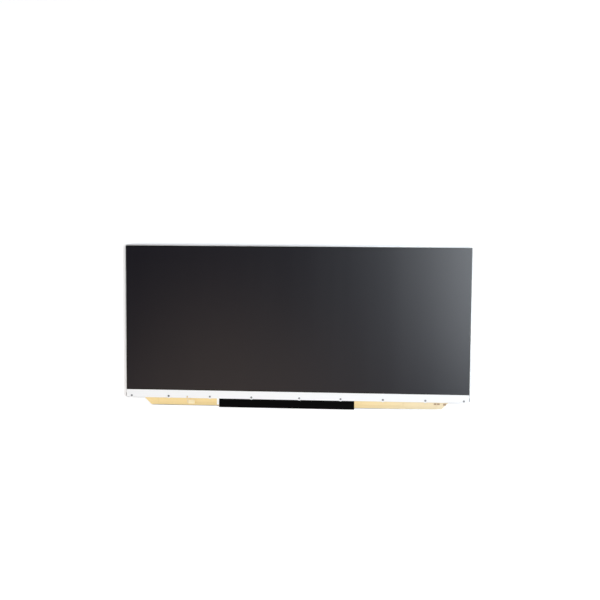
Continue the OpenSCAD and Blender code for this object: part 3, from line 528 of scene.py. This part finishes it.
for name, colour, roughness, grain, depth in (
        ("frame_plastic", (0.86, 0.86, 0.85), 0.45, 0.0006, 0.00002),
        ("chip_epoxy", (0.014, 0.014, 0.015), 0.45, 0.0003, 0.00001),
        ("ivory_nylon", (0.90, 0.75, 0.49), 0.40, 0.0008, 0.00001),
        ("latch_nylon", (0.016, 0.016, 0.018), 0.42, 0.0006, 0.00001),
        ("lead_sheath", (0.74, 0.63, 0.45), 0.46, 0.0012, 0.00003),
        ("brown_ceramic", (0.46, 0.34, 0.22), 0.40, 0.0003, 0.00001),
        ("tan_moulding", (0.37, 0.25, 0.155), 0.42, 0.0004, 0.00001),
        ("grey_silicone", (0.33, 0.39, 0.48), 0.62, 0.0007, 0.00002),
        ("white_resin", (0.88, 0.88, 0.85), 0.38, 0.0005, 0.00001),
        ("yellow_phosphor", (0.86, 0.66, 0.07), 0.55, 0.0002, 0.00001)):
    finishes[name] = moulded(name, colour, roughness, grain, depth)
print("finishes so far:", len(finishes))

# %% [markdown]
# ## Glass and the light stack
#
# The two sheets of glass are nearly black from outside, with the picture lines just to be made out.
# The light guide is clear acrylic with white dots printed under it that grow away from the lamps,
# and the films over it are milk white or ridged with fine prisms. None of the stack shows from
# outside, but each layer can be taken out and looked at, so each has the surface that it is known
# by. The dots and prisms could be cut into the mesh, but there are thousands of them, and one
# pattern gives them all.

# %% Glass and light guide
line_pitch = 0.0012
dots_per_metre = 420.0
small_dot, large_dot = 0.14, 0.36
guide_half_height = 0.17


def cell_glass():
    material, tree, shader, place = start_finish("cell_glass", (0.010, 0.013, 0.013), 0.07)
    lines = stripes(tree, place, "X", line_pitch, 0.3)
    cloud = noise(tree, place, 40.0, 2.0)
    dark = blend(tree, cloud, (0.008, 0.010, 0.010), (0.016, 0.020, 0.019))
    paint_with(tree, shader, blend(tree, lines, dark, (0.024, 0.028, 0.027)),
               limits(tree, cloud, 0.3, 0.7, 0.05, 0.10))
    return material


def dotted_acrylic():
    material, tree, shader, place = start_finish("dotted_acrylic", (0.90, 0.96, 0.97), 0.08)
    axes = add(tree, "ShaderNodeSeparateXYZ", {"Vector": place}).outputs
    flat = stretched(tree, place, 1.0, 1.0, 0.0)
    dots = add(tree, "ShaderNodeTexVoronoi", {"Vector": flat, "Scale": dots_per_metre,
                                              "Randomness": 0.35}).outputs["Distance"]
    radius = limits(tree, axes["Y"], -guide_half_height, guide_half_height, small_dot, large_dot)
    dot = maths(tree, "LESS_THAN", dots, radius)
    paint_with(tree, shader, blend(tree, dot, (0.86, 0.95, 0.96), (0.95, 0.96, 0.96)),
               limits(tree, dot, 0.0, 1.0, 0.06, 0.5))
    shader.inputs["Transmission Weight"].default_value = 0.6
    shader.inputs["IOR"].default_value = 1.49
    return material


finishes["cell_glass"] = cell_glass()
finishes["dotted_acrylic"] = dotted_acrylic()
print("finishes so far:", len(finishes))

# %% Optical sheets
prism_depth = 0.00012
prism_half_pitch = 0.00015


def white_sheet(name, colour, roughness, pitch):
    """A milk-white sheet; pitch is the spacing of the beads in it."""
    material, tree, shader, place = start_finish(name, colour, roughness)
    cloud = noise(tree, place, 1 / pitch, 2.0)
    deeper = tuple(value * 0.95 for value in colour)
    paint_with(tree, shader, blend(tree, cloud, deeper, colour),
               limits(tree, cloud, 0.3, 0.7, roughness - 0.05, roughness + 0.05))
    emboss(tree, shader, cloud, pitch * 0.04, 0.5)
    return material


def prism_film():
    material, tree, shader, place = start_finish("prism_film", (0.80, 0.84, 0.88), 0.16)
    across = add(tree, "ShaderNodeSeparateXYZ", {"Vector": place}).outputs["Y"]
    ridge = maths(tree, "PINGPONG", across, prism_half_pitch)
    height = maths(tree, "DIVIDE", ridge, prism_half_pitch)
    paint_with(tree, shader, blend(tree, height, (0.74, 0.79, 0.84), (0.88, 0.90, 0.93)))
    emboss(tree, shader, height, prism_depth, 0.6)
    return material


finishes["prism_film"] = prism_film()
finishes["white_reflector"] = white_sheet("white_reflector", (0.93, 0.94, 0.95), 0.45, 0.0016)
finishes["milk_diffuser"] = white_sheet("milk_diffuser", (0.90, 0.91, 0.93), 0.60, 0.0005)
print("finishes so far:", len(finishes))

# %% [markdown]
# ## Flat cable
#
# A flat cable is a row of tinned strips between two white films, one strip to a millimetre, and the
# film stands up a little over each. As on the source films, the strips only follow X. The cable
# bends round the lower edge across them, so they need no path of their own.

# %% Flat cable
conductor_pitch = 0.001


def flat_cable_finish():
    material, tree, shader, place = start_finish("flat_cable", (0.86, 0.87, 0.88), 0.34)
    conductor = stripes(tree, place, "X", conductor_pitch, 0.6)
    cloud = noise(tree, place, 300.0, 2.0)
    white = blend(tree, cloud, (0.84, 0.85, 0.86), (0.90, 0.90, 0.91))
    paint_with(tree, shader, blend(tree, conductor, white, (0.70, 0.71, 0.72)),
               limits(tree, conductor, 0.0, 1.0, 0.32, 0.40))
    emboss(tree, shader, conductor, 0.00004, 0.7)
    return material


finishes["flat_cable"] = flat_cable_finish()
print(len(finishes), "finishes")

# %% [markdown]
# ## A tree for parts that repeat
#
# Capacitors, terminals and pins come by the dozen. A loop could place copies, but then a change of
# shape means a new mesh for each. Geometry Nodes make the shape once and put it on every point of a
# small mesh of places. A tree has named inputs for its sizes. The modifier's inputs are set by the
# socket's identifier before the object is first evaluated, the result is turned into a plain mesh,
# and the modifier goes with its carrier.

# %% The start and the end of a tree
def start_tree(name, **sockets):
    """A new tree with a geometry input and named inputs, given as name=type."""
    tree = bpy.data.node_groups.new(name, "GeometryNodeTree")
    tree.interface.new_socket("Geometry", in_out="OUTPUT", socket_type="NodeSocketGeometry")
    tree.interface.new_socket("Geometry", in_out="INPUT", socket_type="NodeSocketGeometry")
    for label, kind in {**sockets, "Material": "Material"}.items():
        tree.interface.new_socket(label, in_out="INPUT", socket_type="NodeSocket" + kind)
    return tree, add(tree, "NodeGroupInput").outputs


def set_out(tree, given, shape):
    """Puts the shape on every place with its turn, makes it real, paints it and ends the tree."""
    turn = add(tree, "GeometryNodeInputNamedAttribute", {"Name": "turn"}, data_type="FLOAT").outputs[0]
    spin = add(tree, "ShaderNodeCombineXYZ", {"Z": turn}).outputs[0]
    copies = add(tree, "GeometryNodeInstanceOnPoints",
                 {"Points": given["Geometry"], "Instance": shape, "Rotation": spin}).outputs[0]
    real = add(tree, "GeometryNodeRealizeInstances", {0: copies}).outputs[0]
    painted = add(tree, "GeometryNodeSetMaterial", {"Geometry": real, "Material": given["Material"]})
    add(tree, "NodeGroupOutput", {0: painted.outputs[0]})


print("tree helpers:", start_tree.__name__, set_out.__name__)

# %% From a tree to a plain piece
def grow(name, tree, places, material, slot, **sizes):
    """Runs a tree on places, each (x, y, z, turn in radians), and returns the plain piece."""
    carrier_mesh = bpy.data.meshes.new(name + "_places")
    carrier_mesh.from_pydata([place[:3] for place in places], [], [])
    turns = carrier_mesh.attributes.new("turn", "FLOAT", "POINT")
    turns.data.foreach_set("value", [place[3] for place in places])
    carrier = bpy.data.objects.new(name + "_places", carrier_mesh)
    bpy.context.scene.collection.objects.link(carrier)
    modifier = carrier.modifiers.new("grow", "NODES")
    modifier.node_group = tree
    given = {**sizes, "Material": finishes[material]}
    for socket in tree.interface.items_tree:
        if socket.in_out == "INPUT" and socket.name in given:
            modifier[socket.identifier] = given[socket.name]
    depsgraph = bpy.context.evaluated_depsgraph_get()
    mesh = bpy.data.meshes.new_from_object(carrier.evaluated_get(depsgraph), depsgraph=depsgraph)
    bpy.data.objects.remove(carrier)
    piece = bpy.data.objects.new(name, mesh)
    mesh.name = name
    bpy.context.scene.collection.objects.link(piece)
    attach(piece, "root")
    print(name, "has", len(mesh.polygons), "faces on", len(places), "places")
    return piece


print("pieces grow from", grow.__name__)

# %% [markdown]
# ## A block with a chamfered top
#
# Most small electronic parts are little blocks: round corners seen from above, a chamfer round the
# top, sharp at the foot. A cube with a Bevel modifier would round the foot too. So the outline is a
# rectangle with filleted corners, filled and pulled up twice, and the last pull is scaled in. A
# flipped copy of the outline closes the foot.

# %% The block tree
corner_steps = 3
weld = 1e-7


def block_tree():
    tree, given = start_tree("chamfered_blocks", Length="Float", Width="Float", Height="Float",
                             Corner="Float", Chamfer="Float")
    outline = add(tree, "GeometryNodeCurvePrimitiveQuadrilateral",
                  {"Width": given["Length"], "Height": given["Width"]}).outputs[0]
    rounded = add(tree, "GeometryNodeFilletCurve",
                  {"Curve": outline, "Radius": given["Corner"], "Count": corner_steps},
                  mode="POLY").outputs[0]
    plan = add(tree, "GeometryNodeFillCurve", {"Curve": rounded}, mode="NGONS").outputs[0]
    rise = maths(tree, "SUBTRACT", given["Height"], given["Chamfer"])
    wall = add(tree, "GeometryNodeExtrudeMesh", {"Mesh": plan, "Offset Scale": rise,
                                                 "Individual": False})
    crown = add(tree, "GeometryNodeExtrudeMesh", {"Mesh": wall.outputs["Mesh"], "Individual": False,
                                                  "Selection": wall.outputs["Top"],
                                                  "Offset Scale": given["Chamfer"]})
    trim = maths(tree, "MULTIPLY", given["Chamfer"], 2.0)
    shrink = maths(tree, "SUBTRACT", 1.0, maths(tree, "DIVIDE", trim, given["Length"]))
    capped = add(tree, "GeometryNodeScaleElements",
                 {"Geometry": crown.outputs["Mesh"], "Selection": crown.outputs["Top"],
                  "Scale": shrink})
    foot = add(tree, "GeometryNodeFlipFaces", {"Mesh": plan})
    joined = add(tree, "GeometryNodeJoinGeometry")
    tree.links.new(capped.outputs[0], joined.inputs[0])
    tree.links.new(foot.outputs[0], joined.inputs[0])
    block = add(tree, "GeometryNodeMergeByDistance",
                {"Geometry": joined.outputs[0], "Distance": weld})
    set_out(tree, given, block.outputs[0])
    return tree


blocks = block_tree()
print("block tree has", len(blocks.nodes), "nodes")

# %% [markdown]
# ## Chip capacitors
#
# A ceramic chip capacitor is a brown block with a tin cap round each end. Their places could be
# typed in, but the solids already give them: every loose part of the node is one capacitor, and its
# longer side says which way it lies. The cap is a hair larger than the body all round, as on the
# real one.

# %% Find the loose parts of a node
same_point = 1e-6


def loose_parts(name):
    """The lowest and highest corner of each separate solid in a node."""
    form = bmesh.new()
    form.from_mesh(nodes[name].data)
    bmesh.ops.remove_doubles(form, verts=form.verts, dist=same_point)
    left = set(form.verts)
    parts = []
    while left:
        found = [left.pop()]
        corners = []
        while found:
            vertex = found.pop()
            corners.append(vertex.co.copy())
            for edge in vertex.link_edges:
                other = edge.other_vert(vertex)
                if other in left:
                    left.remove(other)
                    found.append(other)
        low, high = (Vector([pick(corner[axis] for corner in corners) for axis in range(3)])
                     for pick in (min, max))
        parts.append((low, high))
    form.free()
    return sorted(parts, key=lambda part: tuple(part[0]))


def along(part, shift):
    """A place on the foot of a part, moved along its longer side, and the turn of that side."""
    low, high = part
    middle = (low + high) / 2
    turned = high.y - low.y > high.x - low.x
    way = Vector((0, shift, 0)) if turned else Vector((shift, 0, 0))
    return (*(middle + way).xy, low.z, math.pi / 2 if turned else 0.0)


chip_parts = loose_parts("board_capacitors")
first_place = [round(1000 * value, 2) for value in along(chip_parts[0], 0)[:2]]
print(len(chip_parts), "capacitors, the first at", first_place, "mm")

# %% Ceramic bodies and tin caps
low, high = chip_parts[0]
chip_length, chip_width = max((high - low).xy), min((high - low).xy)
chip_height = (high - low).z
cap_length = 0.00045
cap_overlap = 0.2
step_in = 0.00004
body_corner, cap_corner = 0.00005, 0.0001
body_chamfer, cap_chamfer = 0.00004, 0.00005
ceramic_bodies = grow("ceramic_bodies", blocks, [along(part, 0) for part in chip_parts],
                      "brown_ceramic", "brown_ceramic",
                      Length=chip_length - 2 * (1 - cap_overlap) * cap_length,
                      Width=chip_width - 2 * step_in, Height=chip_height - step_in,
                      Corner=body_corner, Chamfer=body_chamfer)
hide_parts("board_capacitors")
cap_shift = (chip_length - cap_length) / 2
cap_places = [along(part, side * cap_shift) for part in chip_parts for side in (-1, 1)]
grow("tin_caps", blocks, cap_places, "tin_plate", "plated_steel", Length=cap_length,
     Width=chip_width, Height=chip_height, Corner=cap_corner, Chamfer=cap_chamfer)

# %% [markdown]
# ## Moulded capacitors
#
# The three tan parts at the right board's end are moulded capacitors: a block with a clear chamfer
# and a flat tin terminal at each end, drawn as a lower block that stands on the board. They have the
# same tree as the chips, with other sizes, and one call each because their lengths differ.

# %% Moulded bodies and their terminals
terminal_t = 0.00018
terminal_edge = 0.00004
terminal_width_share, terminal_height_share = 0.7, 0.55
mould_corner, mould_chamfer = 0.0002, 0.0003
for count, part in enumerate(loose_parts("moulded_capacitors"), 1):
    size = part[1] - part[0]
    body = grow(f"moulded_body_{count}", blocks, [along(part, 0)], "tan_moulding", "brown_ceramic",
                Length=size.x - 2 * terminal_t, Width=size.y, Height=size.z,
                Corner=mould_corner, Chamfer=mould_chamfer)
    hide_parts("moulded_capacitors")
    shift = (size.x - terminal_t) / 2
    grow(f"moulded_terminals_{count}", blocks, [along(part, -shift), along(part, shift)],
         "tin_plate", "plated_steel", Length=terminal_t, Width=terminal_width_share * size.y,
         Height=terminal_height_share * size.z, Corner=terminal_edge, Chamfer=terminal_edge)

# %% [markdown]
# ## Pins
#
# The legs of the chips and the solder tails of the sockets are the same thing in two sizes: a strip
# that comes out level, steps down to the board and ends in a flat foot. Three thin boxes would leave
# gaps at the bends. So its side view is a line of four points, whose place is worked out from their
# number, and the strip is swept along it.

# %% Paths and strips
def passed(tree, index, corner):
    """1 for each point whose number is above a corner's, and 0 for the others."""
    return maths(tree, "GREATER_THAN", index, corner + 0.5)


def strip_along(tree, path, width, thickness):
    """A strip swept along a path, lying level all the way."""
    level = add(tree, "GeometryNodeSetCurveNormal", {"Curve": path}, mode="Z_UP").outputs[0]
    section = add(tree, "GeometryNodeCurvePrimitiveQuadrilateral",
                  {"Width": width, "Height": thickness}).outputs[0]
    return add(tree, "GeometryNodeCurveToMesh", {"Curve": level, "Profile Curve": section,
                                                 "Fill Caps": True}).outputs[0]


print("path helpers:", passed.__name__, strip_along.__name__)

# %% The pin tree
level_share, step_share, foot_share = 0.4, 0.2, 0.4


def pin_tree():
    tree, given = start_tree("stepped_pins", Reach="Float", Drop="Float", Width="Float",
                             Thickness="Float")
    index = add(tree, "GeometryNodeInputIndex").outputs[0]
    past_0, past_1, past_2 = (passed(tree, index, corner) for corner in range(3))
    foot = maths(tree, "MULTIPLY", past_2, foot_share)
    step = maths(tree, "MULTIPLY_ADD", past_1, step_share, foot)
    out = maths(tree, "MULTIPLY_ADD", past_0, level_share, step)
    above = maths(tree, "SUBTRACT", 1.0, past_1)
    place = add(tree, "ShaderNodeCombineXYZ",
                {"X": maths(tree, "MULTIPLY", out, given["Reach"]),
                 "Z": maths(tree, "MULTIPLY", above, given["Drop"])}).outputs[0]
    dots = add(tree, "GeometryNodePoints", {"Count": 4, "Position": place}).outputs[0]
    side_view = add(tree, "GeometryNodePointsToCurves", {"Points": dots}).outputs[0]
    set_out(tree, given, strip_along(tree, side_view, given["Width"], given["Thickness"]))
    return tree


pins = pin_tree()
print("pin tree has", len(pins.nodes), "nodes")

# %% [markdown]
# ## Chip legs
#
# The legs of a chip stand in rows at even pitch along its sides, and the row is centred. The box of
# each chip gives its sides, so the rows are worked out and stay right when a chip moves.

# %% Places of pins along the sides of a part
def pin_row(part, side, level, pitch, margin):
    """Places along one side of a part: right, left, back or front; each pin points away from it."""
    low, high = part
    lengthwise = side in ("right", "left")
    start, end = (low.y, high.y) if lengthwise else (low.x, high.x)
    count = int((end - start - 2 * margin) / pitch) + 1
    first = (start + end - (count - 1) * pitch) / 2
    turn = {"right": 0.0, "left": math.pi, "back": math.pi / 2, "front": -math.pi / 2}[side]
    edge = {"right": high.x, "left": low.x, "back": high.y, "front": low.y}[side]
    spots = [first + index * pitch for index in range(count)]
    return [(edge, spot, level, turn) if lengthwise else (spot, edge, level, turn)
            for spot in spots]


print("rows come from", pin_row.__name__)

# %% Legs of the chips and the controller
pin_t = 0.00012
leg_pitch, leg_w = 0.0008, 0.00035
leg_reach, leg_drop = 0.0010, 0.0004
chip_margin, controller_margin = 0.0006, 0.001
leg_level = green_levels[0] - pin_t / 2
chip_rows = []
for part in loose_parts("timing_chips"):
    wide = part[1].x - part[0].x > part[1].y - part[0].y
    for side in ("back", "front") if wide else ("right", "left"):
        chip_rows += pin_row(part, side, leg_level, leg_pitch, chip_margin)
controller = loose_parts("timing_controller")[0]
for side in ("right", "left", "back", "front"):
    chip_rows += pin_row(controller, side, leg_level, leg_pitch, controller_margin)
grow("chip_legs", pins, chip_rows, "tin_plate", "plated_steel",
     Reach=leg_reach, Drop=-leg_drop, Width=leg_w, Thickness=pin_t)

# %% [markdown]
# ## Solder tails
#
# A cable socket has one fine tail for each contact, soldered behind it. The front boards carry
# theirs on the upper face and the timing board on the lower one, so the step goes the other way: it
# is the same tree with the sign of its drop changed.

# %% Solder tails of the sockets
tail_pitch, tail_drop = 0.0005, 0.0003
cable_margin, signal_margin = 0.003, 0.001
tail_size = {"Reach": 0.0007, "Width": 0.00022, "Thickness": pin_t}
front_tails = [place for part in loose_parts("board_cable_sockets")
               for place in pin_row(part, "back", part[0].z + pin_t / 2, tail_pitch, cable_margin)]
grow("board_socket_tails", pins, front_tails, "tin_plate", "plated_steel",
     Drop=tail_drop, **tail_size)
back_tails = [place for part in loose_parts("timing_cable_sockets")
              for place in pin_row(part, "back", part[1].z - pin_t / 2, tail_pitch, cable_margin)]
low, high = loose_parts("signal_socket")[0]
back_tails += pin_row((low, high), "front", high.z - pin_t / 2, tail_pitch, signal_margin)
grow("timing_socket_tails", pins, back_tails, "tin_plate", "plated_steel",
     Drop=-tail_drop, **tail_size)

# %% [markdown]
# ## Traces under the lacquer
#
# From each film a bundle of traces runs down the board, turns through a short slant and runs to the
# socket of the flat cable. They show as low ridges in the lacquer. A picture of a circuit would have
# to be drawn for each board, so the bundles are worked out. One bundle is one line of points, four
# to a trace: the number of a point says which trace it is on and which corner it is, so its place is
# a formula, and the edges between one trace and the next are deleted. The bundles of the outer films
# run lowest, so that none crosses another.

# %% The trace tree
def trace_tree():
    tree, given = start_tree("nested_traces", Count="Int", Pitch="Float", Down="Float", Bend="Float",
                             Run="Float", Way="Float", Width="Float", Height="Float")
    total = maths(tree, "MULTIPLY", given["Count"], 4.0)
    line = add(tree, "GeometryNodeMeshLine", {"Count": total}).outputs[0]
    index = add(tree, "GeometryNodeInputIndex").outputs[0]
    corner = maths(tree, "MODULO", index, 4.0)
    trace = maths(tree, "FLOOR", maths(tree, "DIVIDE", maths(tree, "ADD", index, 0.5), 4.0))
    past_0, past_1, past_2 = (passed(tree, corner, step) for step in range(3))
    across = maths(tree, "MULTIPLY", trace, given["Pitch"])
    rest = maths(tree, "SUBTRACT", maths(tree, "SUBTRACT", given["Run"], across), given["Bend"])
    straight = maths(tree, "MULTIPLY", past_2, rest)
    slant = maths(tree, "MULTIPLY_ADD", past_1, given["Bend"], straight)
    x = maths(tree, "MULTIPLY", maths(tree, "ADD", across, slant), given["Way"])
    level = maths(tree, "SUBTRACT", across, given["Down"])
    upper = maths(tree, "MULTIPLY", past_0, maths(tree, "ADD", level, given["Bend"]))
    y = maths(tree, "SUBTRACT", upper, maths(tree, "MULTIPLY", past_1, given["Bend"]))
    place = add(tree, "ShaderNodeCombineXYZ", {"X": x, "Y": y}).outputs[0]
    laid = add(tree, "GeometryNodeSetPosition", {"Geometry": line, "Position": place}).outputs[0]
    between = add(tree, "FunctionNodeCompare", {"A": corner, "B": 3.0, "Epsilon": 0.1},
                  data_type="FLOAT", operation="EQUAL").outputs[0]
    apart = add(tree, "GeometryNodeDeleteGeometry", {"Geometry": laid, "Selection": between},
                domain="EDGE", mode="EDGE_FACE")
    paths = add(tree, "GeometryNodeMeshToCurve", {0: apart.outputs[0]}).outputs[0]
    set_out(tree, given, strip_along(tree, paths, given["Width"], given["Height"]))
    return tree


traces = trace_tree()
print("trace tree has", len(traces.nodes), "nodes")

# %% [markdown]
# ## Eight bundles
#
# Four films feed each board, and each board has one socket. The tree draws a bundle that runs to the
# right, and a way of -1 mirrors it for the right board. A film that ends near the socket gets a
# short bundle all the same.

# %% Lay the bundles
trace_w, trace_h = 0.00008, 0.00003
bundle_traces, bundle_pitch = 20, 0.00016
first_drop, next_drop = 0.0076, 0.0036
bend = 0.001
shortest_run = 0.012
film_clear = 0.0004
socket_low, socket_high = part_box("board_cable_sockets")
for film in range(1, 9):
    low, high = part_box(f"source_film_{film}")
    left_board = film < 5
    way = 1 if left_board else -1
    goal = socket_low.x if left_board else socket_high.x
    from_centre = 4 - film if left_board else film - 5
    origin = ((low.x + high.x) / 2, low.y - film_clear, cream_levels[1], 0.0)
    grow(f"traces_{film}", traces, [origin], "lacquered_trace", "cream_board",
         Count=bundle_traces, Pitch=bundle_pitch, Down=first_drop + next_drop * from_centre,
         Bend=bend, Run=max(shortest_run, way * (goal - origin[0])), Way=float(way),
         Width=trace_w, Height=trace_h)

# %% [markdown]
# ## Dress the solids
#
# Each solid keeps its shape and gets its finish in its own material slot. It could be dressed where
# its finish is made, but one list by finish is easier to read and to check: every node of the part
# has to be in it once.

# %% Give each solid its finish
dressed = {
    "screen_film": ["front_polarizer", "rear_polarizer"],
    "rail_paint": ["front_rail"],
    "cream_lacquer": ["source_board_left", "source_board_right"],
    "green_mask": ["timing_board"],
    "black_sheet": ["insulating_sheet", "board_liner_left", "board_liner_right"],
    "amber_film": [f"source_film_{film}" for film in range(1, 9)],
    "closed_cell_foam": ["foam_strips"],
    "grained_rubber": ["light_guide_pads", "cell_tape"],
    "galvanised_steel": ["back_chassis"],
    "nickel_plate": ["clinch_nuts", "rail_posts", "timing_screws"],
    "dark_nickel": ["rail_screws"],
    "tin_plate": ["timing_cover", "signal_socket"],
    "drawn_aluminium": ["led_heat_sink"],
    "frame_plastic": ["middle_frame"],
    "chip_epoxy": ["driver_chips", "timing_controller", "timing_chips"],
    "ivory_nylon": ["backlight_socket", "board_cable_sockets", "timing_cable_sockets"],
    "latch_nylon": ["cable_latches"],
    "lead_sheath": ["backlight_lead"],
    "brown_ceramic": ["board_capacitors", "moulded_capacitors"],
    "grey_silicone": ["thermal_pad"],
    "white_resin": ["led_strip_board", "led_packages"],
    "yellow_phosphor": ["led_phosphors"],
    "cell_glass": ["array_glass", "filter_glass"],
    "dotted_acrylic": ["light_guide"],
    "prism_film": ["prism_sheet"],
    "white_reflector": ["reflector_sheet"],
    "milk_diffuser": ["diffuser_sheet", "upper_diffuser"],
    "flat_cable": ["flat_cable_left", "flat_cable_right"],
}
for finish, names in dressed.items():
    for name in names:
        nodes[name].data.materials.clear()
        nodes[name].data.materials.append(finishes[finish])
undressed = set(nodes) - {name for names in dressed.values() for name in names}
print("solids without a finish:", sorted(undressed))

# %% [markdown]
# ## Rounded edges
#
# A pressed sheet or a moulding has no knife edge: each one is rounded, and catches a thin line of
# light. A shader can fake that with a Bevel node, but it slows every ray and is lost outside Cycles.
# So the pieces whose edges show get a copy with its triangles merged into whole faces and a small
# bevel on each sharp edge. The copy keeps the form and takes the solid's place. The tray is smooth
# as well, since its beads and bosses run out softly into the sheet.

# %% A rounded copy
flat_angle = math.radians(0.5)


def rounded_copy(name, slot, radius, smooth=False, sharp=35):
    """A merged copy of a solid with a bevel on each edge sharper than an angle in degrees."""
    mesh = nodes[name].data.copy()
    mesh.name = "rounded_" + name
    form = bmesh.new()
    form.from_mesh(mesh)
    bmesh.ops.remove_doubles(form, verts=form.verts, dist=same_point)
    bmesh.ops.dissolve_limit(form, angle_limit=flat_angle, verts=form.verts, edges=form.edges)
    form.to_mesh(mesh)
    form.free()
    mesh.polygons.foreach_set("use_smooth", [smooth] * len(mesh.polygons))
    piece = bpy.data.objects.new(mesh.name, mesh)
    bpy.context.scene.collection.objects.link(piece)
    bevel = piece.modifiers.new("rounded", "BEVEL")
    bevel.width = radius
    bevel.segments = 2
    bevel.limit_method = "ANGLE"
    bevel.angle_limit = math.radians(sharp)
    bevel.harden_normals = smooth
    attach(piece, "root")
    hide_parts(name)
    depsgraph = bpy.context.evaluated_depsgraph_get()
    print(piece.name, "has", len(piece.evaluated_get(depsgraph).data.polygons), "faces")


print("copies come from", rounded_copy.__name__)

# %% Round the edges of what shows
rounded_copy("back_chassis", "chassis_steel", 0.0003, smooth=True, sharp=18)
for name, slot, radius in (("timing_cover", "plated_steel", 0.00015),
                           ("front_rail", "white_paint", 0.00015),
                           ("backlight_socket", "socket_plastic", 0.0003),
                           ("middle_frame", "frame_plastic", 0.0002)):
    rounded_copy(name, slot, radius)
